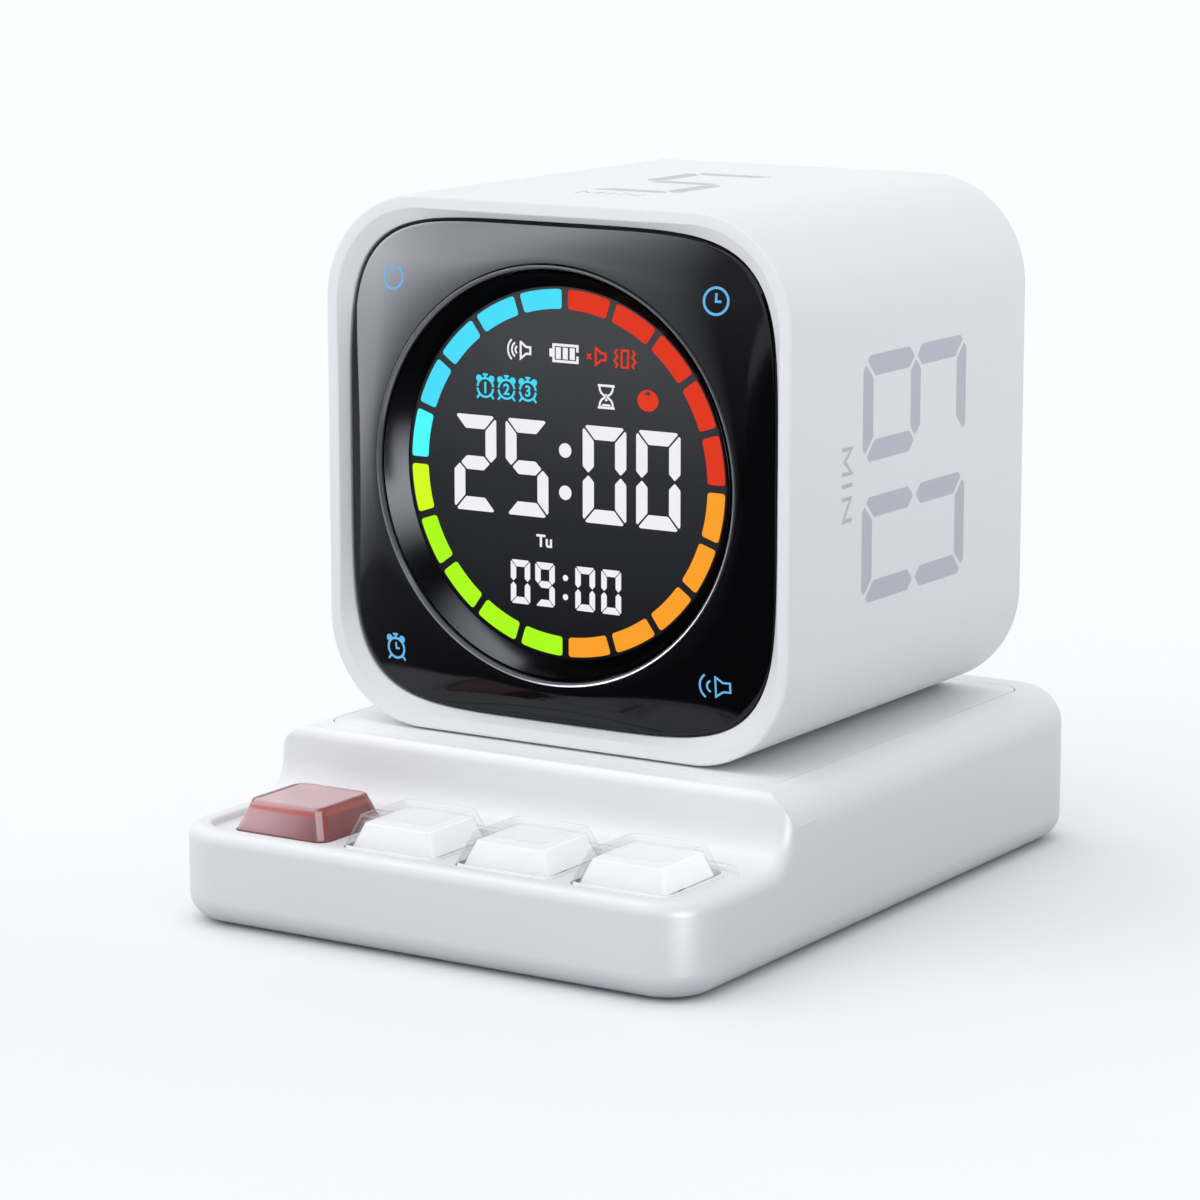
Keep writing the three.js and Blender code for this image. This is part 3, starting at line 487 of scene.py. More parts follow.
def painted_core_glow(draw):
    """Painted light: a glow on the white core that lifts it, with more of it on the top and on the right
    wall.
    """
    x, _, z, half = on_key(draw)
    top, right = z.span(CORE_TOP - 0.15, CORE_TOP - 0.05), (x - half + CORE_STEP).span(-0.5, -0.1)
    return right.mix(top.mix((0.115, 0.117, 0.12, 1), (0.19, 0.192, 0.196, 1)), (0.285, 0.288, 0.292, 1))


# painted light: the white cores get a glow of their own
light_up(key_white.node_tree.nodes["Principled BSDF"], painted_core_glow(Wire(key_white.node_tree)))
print("the keys' cores glow a little:", key_white.name)

# %% Clear and red shells
FROSTED_SHARE, EDGE_SHARE = 0.95, 0.85


def see_through(name, tints, weight, skin_tone, body_share, painted_skirt_glow=None):
    """Polished acrylic: seen through, with a sheen that grows towards its edges and faint flow marks.

    weight(draw) says where the second tint takes over from the first, which paints shade on the caps.
    skin_tone(draw, flow) is the colour of the sheen, and of the red cap's painted light, and body_share is
    how cloudy the acrylic is. The frosted skirt may get a painted glow.
    """
    made, draw, shader = material(name, IOR=1.45)
    flow, skirt = object_noise(draw, 5, 2), frosted_skirt(draw)
    feed(shader, Base_Color=skin_tone(draw, flow), Roughness=0.08 + 0.06 * flow)
    if painted_skirt_glow:
        # painted light: a glow on the frosted skirt
        light_up(shader, skirt.mix(BLACK, painted_skirt_glow))
    clear = [draw.node("ShaderNodeBsdfTransparent", {}, {"Color": tint}) for tint in tints]
    body = draw.node("ShaderNodeMixShader", {}, {0: weight(draw), 1: clear[0], 2: clear[1]})
    edge = draw.node("ShaderNodeLayerWeight", {}, {"Blend": 0.5}, "Facing") ** 5
    frost, sheen = (FROSTED_SHARE - body_share) * skirt, (EDGE_SHARE - body_share) * edge * (1 - skirt)
    blend_surface(draw, body_share + frost + sheen, body, Wire(draw.tree, shader.outputs[0]))
    return made


def clear_tone(draw, flow):
    """Almost white, with a frosted skirt."""
    tone = flow.mix(shade(240, 242, 246), shade(246, 247, 250))
    return frosted_skirt(draw).mix(tone, shade(246, 247, 249))


def red_tone_and_painted_light(draw, flow):
    """Red acrylic's pink with painted light: painted highlights and painted shade, deeper to the right."""
    x, y, z, half = on_key(draw)
    top = z - KEY_TOP
    # a painted highlight along the left edge, then painted shade that deepens to the right and on the right
    # wall
    tone = x.span(-7.8, -6.2).mix(shade(252, 226, 228), shade(228, 190, 196))
    tone = (x.span(-5, 6) ** 1.4).mix(tone, shade(162, 110, 112))
    tone = (x - half).span(-0.9, -0.3).mix(tone, shade(153, 86, 84))
    # a painted orange glint just under the top edge
    line = top.span(-1.3, -1.0) * (1 - top.span(-0.7, -0.5))
    tone = (line * 0.75).mix(tone, shade(222, 104, 88))
    # on the front corner a painted highlight, and beside it a painted dark band
    corner, turn = (x - y - 2 * half).span(-1.95, -1.8), x + y
    tone = (corner * turn.span(-0.9, -0.7) * (1 - turn.span(0.5, 0.7))).mix(tone, shade(238, 200, 205))
    tone = (corner * turn.span(0.5, 0.7) * (1 - turn.span(1.2, 1.6))).mix(tone, shade(176, 78, 66))
    # painted shade at the foot
    tone = (1 - z.span(CORE_LOW + 0.1, CORE_LOW + 0.45)).mix(tone, shade(128, 70, 74))
    # on the rim, painted shade at its right end and a painted dark line along its inner left edge
    rim = x.span(5.4, 6.0).mix(shade(228, 188, 192), shade(158, 80, 74))
    rim = (x.span(-6.2, -6.0) * (1 - x.span(-5.5, -5.3))).mix(rim, shade(118, 62, 64))
    tone = top.span(-0.5, -0.3).mix(tone, rim)
    # a painted sheen on the dish
    dish = top.span(-0.6, -0.5) * (1 - off_middle(x + 0.15, y).span(5.4, 5.6))
    tone = dish.mix(tone, shade(236, 214, 220))
    return (flow * 0.08).mix(tone, shade(255, 230, 230))


clear_shell = see_through(
    "clear_shell", [(0.992, 0.994, 0.997, 1), (0.84, 0.845, 0.86, 1)],
    # painted shade: the second tint greys the left walls
    lambda draw: 0.1 * object_noise(draw, 6, 1) + 0.9 * painted_left_wall_shade(draw),
    # the last value is a painted glow on the frosted skirt
    clear_tone, 0.03, (0.1, 0.102, 0.105, 1),
)
red_shell = see_through(
    "red_shell", [(0.91, 0.80, 0.815, 1), (0.74, 0.58, 0.58, 1)],
    # painted shade: the red tint deepens to the right
    lambda draw: on_key(draw)[0].span(-9, 8), red_tone_and_painted_light, 0.6,
)
print("shells:", clear_shell.name, red_shell.name)

# %% [markdown]
# ## Shaping tools
# Most pieces are lofts: the same outline, inset and lifted step by step, with its rings joined by faces.
# A loft gives exact radii, so each fillet is as round as the mould's. Openings are cut with Boolean tools
# whose rims flare out, which leaves the small rounded edge that a real moulding has.

# %% Outlines
def fillet(radius, steps=5):
    """A quarter round between two faces: its distances from both, from (radius, 0) to (0, radius)."""
    turns = [math.pi / 2 * i / steps for i in range(steps + 1)]
    return [(radius * (1 - math.sin(t)), radius * (1 - math.cos(t))) for t in turns]


def full_turn(count):
    return [2 * math.pi * i / count for i in range(count)]


def arc(x, y, radius, start, end, steps):
    turns = [math.radians(start + (end - start) * i / steps) for i in range(steps + 1)]
    return [(x + radius * math.cos(t), y + radius * math.sin(t)) for t in turns]


def circle(x, y, radius, sides=28):
    return arc(x, y, radius, 0, 360 - 360 / sides, sides - 1)


def rounded_rect(width, depth, front, back_radius=None, x=0, y=0, steps=14):
    """Rounded rectangle round (x, y), with one radius at its front corners and one at its back."""
    rear = front if back_radius is None else back_radius
    done = []
    for i, (sx, sy, r) in enumerate([(1, -1, front), (1, 1, rear), (-1, 1, rear), (-1, -1, front)]):
        done += arc(x + sx * (width / 2 - r), y + sy * (depth / 2 - r), r, 90 * i - 90, 90 * i, steps)
    return done


def inset_square(half, corner, inset=0, x=0, y=0, steps=14):
    """A rounded square round (x, y), its sides and corners drawn in by an inset."""
    size = 2 * (half - inset)
    return rounded_rect(size, size, corner - inset, x=x, y=y, steps=steps)


def bend(before, here, after, size, steps):
    """The short curve that takes the place of one corner."""
    here = Vector(here)
    a, b = (here + (Vector(other) - here).normalized() * size for other in (before, after))
    shares = [k / steps for k in range(steps + 1)]
    return [tuple(a * (1 - t) ** 2 + here * (2 * t * (1 - t)) + b * t * t) for t in shares]


def soften(outline, radius, steps=3):
    """The same closed outline with its corners rounded off by short curves."""
    done = []
    for i, here in enumerate(outline):
        before, after = outline[i - 1], outline[(i + 1) % len(outline)]
        room = min((Vector(other) - Vector(here)).length for other in (before, after))
        done += bend(before, here, after, min(radius, 0.45 * room), steps)
    return done


def level(outline, z):
    return [(x, y, z) for x, y in outline]


print("a rounded rectangle has", len(rounded_rect(2, 2, 0.5)), "points")

# %% Lofts and turned pieces
def tidy(made, merge=True):
    """Merges doubled points and drops empty faces, if asked to, and turns every face outwards."""
    work = bmesh.new()
    work.from_mesh(made.data)
    if merge:
        bmesh.ops.remove_doubles(work, verts=work.verts, dist=2e-7)
        bmesh.ops.dissolve_degenerate(work, edges=work.edges, dist=1e-8)
    bmesh.ops.recalc_face_normals(work, faces=work.faces)
    work.to_mesh(made.data)
    work.free()
    return made


def loft(name, rings, closed=False):
    """Joins rings of equal count; an open loft is capped, a closed one runs round into itself."""
    count = len(rings[0])
    faces = []
    for r in range(len(rings) if closed else len(rings) - 1):
        a, b = r * count, (r + 1) % len(rings) * count
        faces += [(a + i, a + (i + 1) % count, b + (i + 1) % count, b + i) for i in range(count)]
    if not closed:
        last = (len(rings) - 1) * count
        faces += [tuple(range(count))[::-1], tuple(range(last, last + count))]
    return tidy(mesh_object(name, [point for ring in rings for point in ring], faces))


def plain(u, v, w):
    """The place function of a piece that is drawn where it belongs."""
    return (u, v, w)


def prism(name, outline, low, high, place=plain):
    """An outline carried straight from one height of a place function to another."""
    return loft(name, [[place(u, v, w) for u, v in outline] for w in (low, high)])


def rod(name, radius, low, high, x, y, place=plain):
    return prism(name, circle(x, y, radius, 32), low, high, place)


def pill(name, width, height, low, high, place, steps=12):
    """A bar with round ends."""
    return prism(name, rounded_rect(width, height, height / 2 - 1e-3, steps=steps), low, high, place)


def turned(name, profile, place, sides=160):
    """A closed profile of (radius, height) turned about an axis; place puts (u, v, w) in the frame."""
    spokes = [(math.cos(t), math.sin(t)) for t in full_turn(sides)]
    return loft(name, [[place(r * c, r * s, w) for c, s in spokes] for r, w in profile], True)


def slab(name, outline, z0, z1, lower, upper, steps=10):
    """outline(inset) lifted from z0 to z1, with its lower and upper edges rounded."""
    foot = [level(outline(a), z0 + b) for a, b in fillet(lower, steps)]
    head = [level(outline(b), z1 - a) for a, b in fillet(upper, steps)]
    return loft(name, (foot if lower > 0 else foot[-1:]) + head)


print("lofts, prisms and turned pieces can be made")

# %% Cuts, shading and fitting
def settle(made):
    """Applies the modifiers: the evaluated mesh becomes the piece's own."""
    mesh = bpy.data.meshes.new_from_object(made.evaluated_get(bpy.context.evaluated_depsgraph_get()))
    made.modifiers.clear()
    made.data = mesh
    return made


def combine(made, tools, operation="DIFFERENCE"):
    """Cuts the tools out of a piece, or joins them to it, and removes them."""
    for tool in tools:
        step = made.modifiers.new("step", "BOOLEAN")
        step.operation, step.object, step.solver = operation, tool, "MANIFOLD"
    settle(made)
    for tool in tools:
        bpy.data.objects.remove(tool)
    return made


def smooth(made, angle, weighted=True):
    """Smooth shading up to an angle, with large flat faces kept flat."""
    made.data.shade_smooth()
    made.data.set_sharp_from_angle(angle=math.radians(angle))
    if weighted:
        made.modifiers.new("flats", "WEIGHTED_NORMAL").keep_sharp = True
        settle(made)
    return made


def fit(made, finish, body, slot, *nodes):
    """Gives a finished piece its material and its body, and hides the CAD nodes that it stands for; slot is
    not used.
    """
    made.data.materials.clear()
    made.data.materials.append(finish)
    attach(made, body)
    if nodes:
        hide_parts(*nodes)
    print(f"{made.name}: {len(made.data.polygons)} faces on {body}")
    return made


print("shaping tools ready")

# %% [markdown]
# ## The base housing
# One white moulding: a low ledge with the keys, a hollow sweep up to the platform, and a big radius at each
# corner. It is the hardest surface on the object, so it is built from the three forms that a mould maker
# would draw: a filleted ledge, a filleted platform and the cove between them, joined into one skin.

# %% Base housing: outer form
BASE_CORNER, BURIED, FINE = 8.3, 7, 14
COVE, STEP_EDGE, SIDE_EDGE, FOOT_EDGE = 5.2, 2.0, 6.0, 4.0


def footprint(inset):
    return rounded_rect(2 * (BASE_X - inset), 2 * (BASE_Y - inset), BASE_CORNER - inset, steps=20)


def platform_outline(inset, front_edge=STEP_Y):
    middle, depth = (BASE_Y + front_edge) / 2, BASE_Y - front_edge - 2 * inset
    front, rear = max(STEP_EDGE - inset, 0), BASE_CORNER - inset
    return rounded_rect(2 * (BASE_X - inset), depth, front, rear, y=middle, steps=20)


def cove_ring(x, inset):
    """The section of the hollow sweep at one x, with its body buried in the forms behind it."""
    centre = STEP_Y - COVE
    sweep = arc(centre, LEDGE + COVE, COVE + inset, -90, 0, FINE)
    buried = [(STEP_Y + BURIED, LEDGE + COVE), (STEP_Y + BURIED, LEDGE - BURIED), (centre, LEDGE - BURIED)]
    return [(x, y, z) for y, z in sweep + buried]


side = [(BASE_X - a, b) for a, b in fillet(STEP_EDGE, FINE)]
stations = [(-x, inset) for x, inset in reversed(side)] + side
housing = slab("base_shell", footprint, BASE_FOOT, LEDGE, FOOT_EDGE, STEP_EDGE, FINE)
upper = slab(
    "upper", lambda inset: platform_outline(inset, -BASE_Y), LEDGE - BURIED, PLATFORM, 0, SIDE_EDGE, FINE
)
front_form = slab("front_form", platform_outline, LEDGE - BURIED, PLATFORM, 0, STEP_EDGE, FINE)
combine(upper, [front_form], "INTERSECT")
cove = loft("cove", [cove_ring(x, inset) for x, inset in stations])
combine(housing, [upper, cove], "UNION")
print("outer form:", len(housing.data.polygons), "faces")

# %% Base housing: openings
TRAY_X, TRAY_FRONT, TRAY_BACK, TRAY_CORNER = 40.3, 11.0, 8.6, 5
TRAY_FOOT, TRAY_RIM = 0.3, 0.55
WELL_HALF, WELL_CORNER, WELL_RIM = 8.2, 2.1, 0.06
PLATE_HALF, PLATE_CORNER, PLATE_THICK, PLATE_EDGE = 38.35, 3.5, 1.6, 0.13
PLATE_GAP, DOCK_DEPTH = 0.15, 1.7
BASE_WALL, ROOM_CORNER, ROOF, TRAY_SKIN, COVER_LAND = 2.2, 6.1, 3.2, 1.6, 4.6
INLET_WIDTH, INLET_HEIGHT, SOCKET_HEIGHT = 9.8, 4.0, 3.2


def pocket(name, outline, floor_z, rim_z, floor_radius, rim_radius, top):
    """A cutting tool with a rounded foot and a rim that flares out to soften the edge it leaves."""
    rings = [level(outline(a), floor_z + b) for a, b in fillet(floor_radius)]
    rings += [level(outline(-b), rim_z - a) for a, b in fillet(rim_radius)]
    return loft(name, rings + [level(outline(-rim_radius), top)])


def tray_outline(inset):
    middle, depth = KEY_Y + (TRAY_BACK - TRAY_FRONT) / 2, TRAY_FRONT + TRAY_BACK
    return rounded_rect(2 * (TRAY_X - inset), depth - 2 * inset, TRAY_CORNER - inset, y=middle)


def well(x):
    """The tool for one key's well."""

    def outline(inset):
        return inset_square(WELL_HALF, WELL_CORNER, inset, x, KEY_Y)

    return pocket("well", outline, KEY_LOW, TRAY_FLOOR, 0, WELL_RIM, LEDGE)


def plate_outline(inset):
    return inset_square(PLATE_HALF, PLATE_CORNER, inset, y=DOCK_Y)


def dock_outline(inset):
    return plate_outline(inset - PLATE_GAP)


inner_x, inner_back, inner_front = BASE_X - BASE_WALL, BASE_Y - BASE_WALL, STEP_Y + BASE_WALL
room_depth = inner_back - inner_front
room_outline = rounded_rect(2 * inner_x, room_depth, BASE_WALL, ROOM_CORNER, y=inner_front + room_depth / 2)
key_room_outline = rounded_rect(2 * inner_x, 2 * inner_back, ROOM_CORNER)
SOCKET_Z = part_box("base_usb_socket")[0].z / MM + SOCKET_HEIGHT / 2
combine(housing, [
    prism("room", room_outline, COVER_TOP, PLATFORM - ROOF),
    prism("key_room", key_room_outline, COVER_TOP, TRAY_FLOOR - TRAY_SKIN),
    prism("opening", footprint(COVER_LAND), -1, COVER_TOP + 0.1),
    pocket("tray", tray_outline, TRAY_FLOOR, LEDGE, TRAY_FOOT, TRAY_RIM, PLATFORM + 1),
    *[well(x) for x in KEY_XS],
    pocket("dock", dock_outline, PLATFORM - DOCK_DEPTH, PLATFORM, 0, PLATE_EDGE, PLATFORM + 1),
    pill("mouth", INLET_WIDTH, INLET_HEIGHT, BASE_Y - 5, BASE_Y + 1, lambda u, v, w: (u, w, SOCKET_Z + v)),
])
print("with openings:", len(housing.data.polygons), "faces")

# %% Base housing: screw bosses inside
BOSS_RADIUS, BOSS_LOW, BOSS_HIGH = 3.4, COVER_TOP + 1.3, PLATFORM - 3.1
PILOT_RADIUS, PILOT_DEPTH = 1.25, 6.4
screw_boxes = [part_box(f"base_screw_{i}") for i in range(1, 5)]
bosses = [tuple((low + high).xy / 2 / MM) for low, high in screw_boxes]
combine(housing, [rod("boss", BOSS_RADIUS, BOSS_LOW, BOSS_HIGH, x, y) for x, y in bosses], "UNION")
combine(housing, [rod("pilot", PILOT_RADIUS, -1, BOSS_LOW + PILOT_DEPTH, x, y) for x, y in bosses])
smooth(housing, 28)
fit(housing, white_plastic, "base", "white_plastic", "base_housing")

# %% [markdown]
# ## The dock plate
# The cube stands on a plate let into the platform. Only the hair-thin seam round it shows, so its upper edge
# carries a small radius that catches the light.

# %% Dock plate
plate = slab("dock_pad", plate_outline, PLATFORM - PLATE_THICK, PLATFORM, 0.1, PLATE_EDGE, 5)
fit(smooth(plate, 40), white_plastic, "base", "white_plastic", "dock_plate")

# %% [markdown]
# ## The cube's sleeve
# The casing is a square tube with large round corners. Its front lip is flat, then bevels down to the black
# panel; the outer edge is nearly sharp. Rings at many insets are lofted round into one closed body, and the
# panel's opening is a superellipse, a square that is everywhere a little round.

# %% Sleeve loft
CORNER, WALL, EDGE, LIP_FLAT = 16, 2.4, 0.5, 1.95
PANEL_HALF, PANEL_GAP, POWER = CUBE_HALF - 3.2, 0.25, 5


def rounded_square(half, radius, bend_steps=20, run=16):
    """Rounded square with points along its sides too, so that it can pass over to other outlines."""
    corners = [(1, -1), (1, 1), (-1, 1), (-1, -1)]
    reach, done = half - radius, []
    for i, (sx, sy) in enumerate(corners):
        done += arc(sx * reach, sy * reach, radius, 90 * i - 90, 90 * i, bend_steps)
        nx, ny = corners[(i + 1) % 4]
        fx, fy = done[-1]
        done += [(fx + (nx - sx) * reach * k / run, fy + (ny - sy) * reach * k / run) for k in range(1, run)]
    return done


def unit_reach(x, y, power):
    """How far out a superellipse of half width 1 lies in the direction of (x, y)."""
    size = math.hypot(x, y)
    return (abs(x / size) ** power + abs(y / size) ** power) ** (-1 / power)


def superellipse(outline, half, power):
    """The outline's points sent along their own directions to a superellipse."""
    done = []
    for x, y in outline:
        size, reach = math.hypot(x, y), half * unit_reach(x, y, power)
        done.append((reach * (x / size), reach * (y / size)))
    return done


def square_at(inset, w):
    return [in_cube(u, v, w) for u, v in rounded_square(CUBE_HALF - inset, CORNER - inset)]


def opening_at(w):
    outline = superellipse(rounded_square(CUBE_HALF, CORNER), PANEL_HALF + PANEL_GAP, POWER)
    return [in_cube(u, v, w) for u, v in outline]


def between(a, b, share):
    return [tuple(Vector(p).lerp(Vector(q), share)) for p, q in zip(a, b)]


lip_top, lip_foot = square_at(LIP_FLAT, CUBE_FRONT), opening_at(PANEL_EDGE)
sleeve = loft("cube_case", [
    square_at(WALL, BACK_W),
    *[square_at(a, -CUBE_FRONT + b) for a, b in fillet(EDGE)],
    *[square_at(b, CUBE_FRONT - a) for a, b in fillet(EDGE)],
    square_at(LIP_FLAT - 0.1, CUBE_FRONT),
    between(lip_top, lip_foot, 0.06),
    between(lip_top, lip_foot, 0.95),
    opening_at(PANEL_EDGE - 0.12),
    opening_at(PANEL_EDGE - 1.6),
    square_at(WALL, PANEL_EDGE - 1.7),
], True)
print("sleeve:", len(sleeve.data.polygons), "faces")

# %% [markdown]
# ## Signs drawn as outlines
# Numerals and signs are flat outlines. A small drawing kit makes them: bars of a seven-bar numeral, strokes
# along a line, discs and sectors. Every outline becomes a thin closed prism, so that it exports as a solid.

# %% Strokes and prisms
def stroke(points, width):
    """A line of even width along points, as one closed outline."""
    pts = [Vector(p) for p in points]
    left, right = [], []
    for i, here in enumerate(pts):
        ahead = (pts[i + 1] - here) if i < len(pts) - 1 else (here - pts[i - 1])
        behind = (here - pts[i - 1]) if i > 0 else ahead
        a, b = ahead.normalized(), behind.normalized()
        way = (a + b).normalized() if (a + b).length > 1e-6 else a
        reach = Vector((-way.y, way.x)) * (width / 2 / max(abs(way.dot(a)), 0.45))
        left.append(tuple(here + reach))
        right.append(tuple(here - reach))
    return left + right[::-1]


def ring_stroke(x, y, radius, width, start=0.0, end=359.0, steps=36):
    return stroke(arc(x, y, radius, start, end, steps), width)


def box(x0, y0, x1, y1):
    return [(x0, y0), (x1, y0), (x1, y1), (x0, y1)]


def moved(outlines, x, y, size=1.0):
    return [[(x + size * px, y + size * py) for px, py in outline] for outline in outlines]


def sheet_of(name, outlines, place, low, high):
    """Every outline as a thin prism between two heights of a place function."""
    points, faces = [], []
    for outline in outlines:
        n, at = len(outline), len(points)
        points += [place(x, y, low) for x, y in outline] + [place(x, y, high) for x, y in outline]
        faces += [tuple(at + i for i in range(n))[::-1], tuple(at + n + i for i in range(n))]
        faces += [(at + i, at + (i + 1) % n, at + n + (i + 1) % n, at + n + i) for i in range(n)]
    return tidy(mesh_object(name, points, faces), merge=False)


print("a stroke round a ring has", len(ring_stroke(0, 0, 1, 0.1)), "points")

# %% Numerals and letters
BARS = {
    "0": "abcdef", "1": "bc", "2": "abged", "3": "abgcd", "5": "afgcd", "6": "afgedc", "9": "abfgcd",
}


def numeral(sign, width, height, upright, level_bar, gap, corner, tip=0.12):
    """The bars of one seven-bar numeral round (0, 0); mitred ends, each a gap apart."""
    w, h, v, b, g, t = width / 2, height / 2, upright, level_bar, gap / 2, tip
    point, end = v / 2, 1.3 * g
    nose = w - point - 1.4 * g
    bars = {
        "a": [
            (-w + end + 1.9 * t * v, h), (w - end - 1.9 * t * v, h), (w - end - t * v, h - t * b),
            (w - v - 0.9 * g, h - b), (-w + v + 0.9 * g, h - b), (-w + end + t * v, h - t * b),
        ],
        "f": [
            (-w, h - end - 1.9 * t * b), (-w + t * v, h - end - t * b), (-w + v, h - b - end),
            (-w + v, g + point), (-w + point, g), (-w, g + point),
        ],
        "g": [
            (-nose, 0), (-nose + b / 2, b / 2), (nose - b / 2, b / 2),
            (nose, 0), (nose - b / 2, -b / 2), (-nose + b / 2, -b / 2),
        ],
    }
    bars["b"] = [(-x, y) for x, y in bars["f"]]
    bars["e"] = [(x, -y) for x, y in bars["f"]]
    bars["c"] = [(-x, -y) for x, y in bars["f"]]
    bars["d"] = [(x, -y) for x, y in bars["a"]]
    return [soften(bars[k], corner) for k in BARS[sign]]


def numerals(text, centres, y, form):
    """A row of numerals of one form, at the given centres."""
    return [bar for sign, x in zip(text, centres) for bar in moved(numeral(sign, **form), x, y)]


def words(text, height, weight=0.025):
    """Plain lettering as outlines, centred on (0, 0), from Blender's own font."""
    curve = bpy.data.curves.new("words", "FONT")
    curve.body, curve.align_x, curve.align_y, curve.size = text, "CENTER", "CENTER", 1
    curve.offset = weight
    holder = put("words", curve)
    bpy.context.view_layer.update()
    mesh = bpy.data.meshes.new_from_object(holder.evaluated_get(bpy.context.evaluated_depsgraph_get()))
    points = np.array([v.co[:2] for v in mesh.vertices])
    low, high = points.min(0), points.max(0)
    points = (points - (low + high) / 2) * height / (high[1] - low[1])
    outlines = [[tuple(points[i]) for i in face.vertices] for face in mesh.polygons]
    bpy.data.objects.remove(holder)
    return outlines


SIDE_FORM = dict(width=15.25, height=31.4, upright=3.05, level_bar=3.05, gap=0.75, corner=0.3, tip=0.25)
LARGE_FORM = dict(width=7.32, height=14.07, upright=1.87, level_bar=2.02, gap=0.34, corner=0.18)
SMALL_FORM = dict(width=3.35, height=6.45, upright=0.93, level_bar=1.0, gap=0.16, corner=0.08)
print("a five has", len(numeral("5", **LARGE_FORM)), "bars")

# %% [markdown]
# ## Numbers on the cube's sides
# Each side names a number of minutes, in grey: the number that ends up on top is the time that runs. They
# are let in flush: a shallow pocket is cut into the sleeve and filled with a grey inlay, which leaves the
# hair-line edge that shows in raking light. Seen from the front, every number stands on its own side.

# %% Side numbers
NUMBER_Y, MINUTES_Y, DIGIT_PITCH = 11.77, -8.35, 20.35
POCKET, SUNK = 0.12, 0.02
MINUTES = [
    stroke([(-5.2, -1.5), (-5.2, 1.25), (-3.45, -0.75), (-1.7, 1.25), (-1.7, -1.5)], 0.6),
    stroke([(0, -1.5), (0, 1.5)], 0.62),
    stroke([(1.9, -1.5), (1.9, 1.05), (5.0, -1.05), (5.0, 1.5)], 0.6),
]
SIDES = {
    "5": lambda x, y, h: (x, y, CUBE_Z + CUBE_HALF - h),
    "60": lambda x, y, h: (CUBE_HALF - h, y, CUBE_Z - x),
    "30": lambda x, y, h: (-x, y, CUBE_Z - CUBE_HALF + h),
    "15": lambda x, y, h: (-CUBE_HALF + h, y, CUBE_Z + x),
}


def joined(name, pieces):
    """Several meshes made into one object."""
    work = bmesh.new()
    for piece in pieces:
        work.from_mesh(piece.data)
        bpy.data.objects.remove(piece)
    made = mesh_object(name, [], [])
    work.to_mesh(made.data)
    work.free()
    return made


inlays, cutters = [], []
for number, place in SIDES.items():
    centres = [DIGIT_PITCH * (i - (len(number) - 1) / 2) for i in range(len(number))]
    bars = numerals(number, centres, NUMBER_Y, SIDE_FORM) + moved(MINUTES, 0, MINUTES_Y)
    cutters.append(sheet_of("pocket", bars, place, -0.5, POCKET))
    inlays.append(sheet_of("inlay", bars, place, SUNK, POCKET))
smooth(combine(sleeve, cutters), 25)
fit(sleeve, white_plastic, "cube", "white_plastic", "cube_sleeve")
fit(joined("side_numbers", inlays), ink_grey, "cube", "frame_grey")

# %% [markdown]
# ## The front panel
# The black panel follows a rule: its edge is a superellipse, its hole a circle, and between them it swells
# in a quarter sine. Geometry Nodes writes that rule straight on a grid: one side of the grid runs round the
# panel, the other walks along its section, from the rear edge over the crown and back.

# %% Geometry Nodes helpers
def geometry_tree(name, inputs):
    """A geometry tree with named number inputs; returns the tree and a wire for each input."""
    tree = bpy.data.node_groups.new(name, "GeometryNodeTree")
    tree.interface.new_socket("Geometry", in_out="INPUT", socket_type="NodeSocketGeometry")
    tree.interface.new_socket("Geometry", in_out="OUTPUT", socket_type="NodeSocketGeometry")
    for label in inputs:
        tree.interface.new_socket(label, in_out="INPUT", socket_type="NodeSocketFloat")
    entry = tree.nodes.new("NodeGroupInput")
    return tree, {label: Wire(tree, entry.outputs[label]) for label in ["Geometry", *inputs]}


def close_tree(tree, shape, finish):
    """Ends a tree in Realize Instances and Set Material."""
    real = shape.node("GeometryNodeRealizeInstances", {}, {"Geometry": shape})
    painted = shape.node("GeometryNodeSetMaterial", {}, {"Geometry": real, "Material": finish})
    tree.links.new(painted.socket, tree.nodes.new("NodeGroupOutput").inputs[0])


def grow(made, tree, values):
    """Runs a tree on a piece with its named inputs set, and keeps the plain mesh."""
    step = made.modifiers.new(tree.name, "NODES")
    step.node_group = tree
    for item in tree.interface.items_tree:
        if item.in_out == "INPUT" and item.name in values:
            step[item.identifier] = float(values[item.name])
    return settle(made)


def scatter(count, spot):
    """As many points as count says, each at its spot."""
    whole = count.node("FunctionNodeFloatToInt", {}, {"Float": count})
    return count.node("GeometryNodePoints", {}, {"Count": whole, "Position": spot})


def shift(shape, spot):
    """Sends every point of a shape to its spot."""
    return shape.node("GeometryNodeSetPosition", {}, {"Geometry": shape, "Position": spot})


def seed(name):
    """A single point for a tree that makes its whole shape itself."""
    return mesh_object(name, [(0, 0, 0)], [])


print("geometry tree helpers ready")

# %% Front panel
PANEL_HOLE, PANEL_BACK, CROWN, SEAM = PANEL_HALF - 5.4, 1.7, 1.5, 0.25
AROUND, ALONG, MERGE = 321, 41, 2e-7
tree, size = geometry_tree("panel_rule", [
    "Half", "Hole", "Edge", "Back", "Crown", "Seam", "Power", "Centre Y", "Centre Z",
])
start = size["Half"]
grid = start.node("GeometryNodeMeshGrid", {}, {
    "Size X": 1.0, "Size Y": 1.0, "Vertices X": AROUND, "Vertices Y": ALONG,
})
x, y, _ = start.node("GeometryNodeInputPosition").xyz()
turn, walk = (x + 0.5) * (2 * math.pi), (y + 0.5) * (ALONG - 1)
cosine, sine = turn.math("COSINE"), turn.math("SINE")
norm = cosine.math("ABSOLUTE") ** size["Power"] + sine.math("ABSOLUTE") ** size["Power"]
outer = norm ** (-1 / size["Power"])
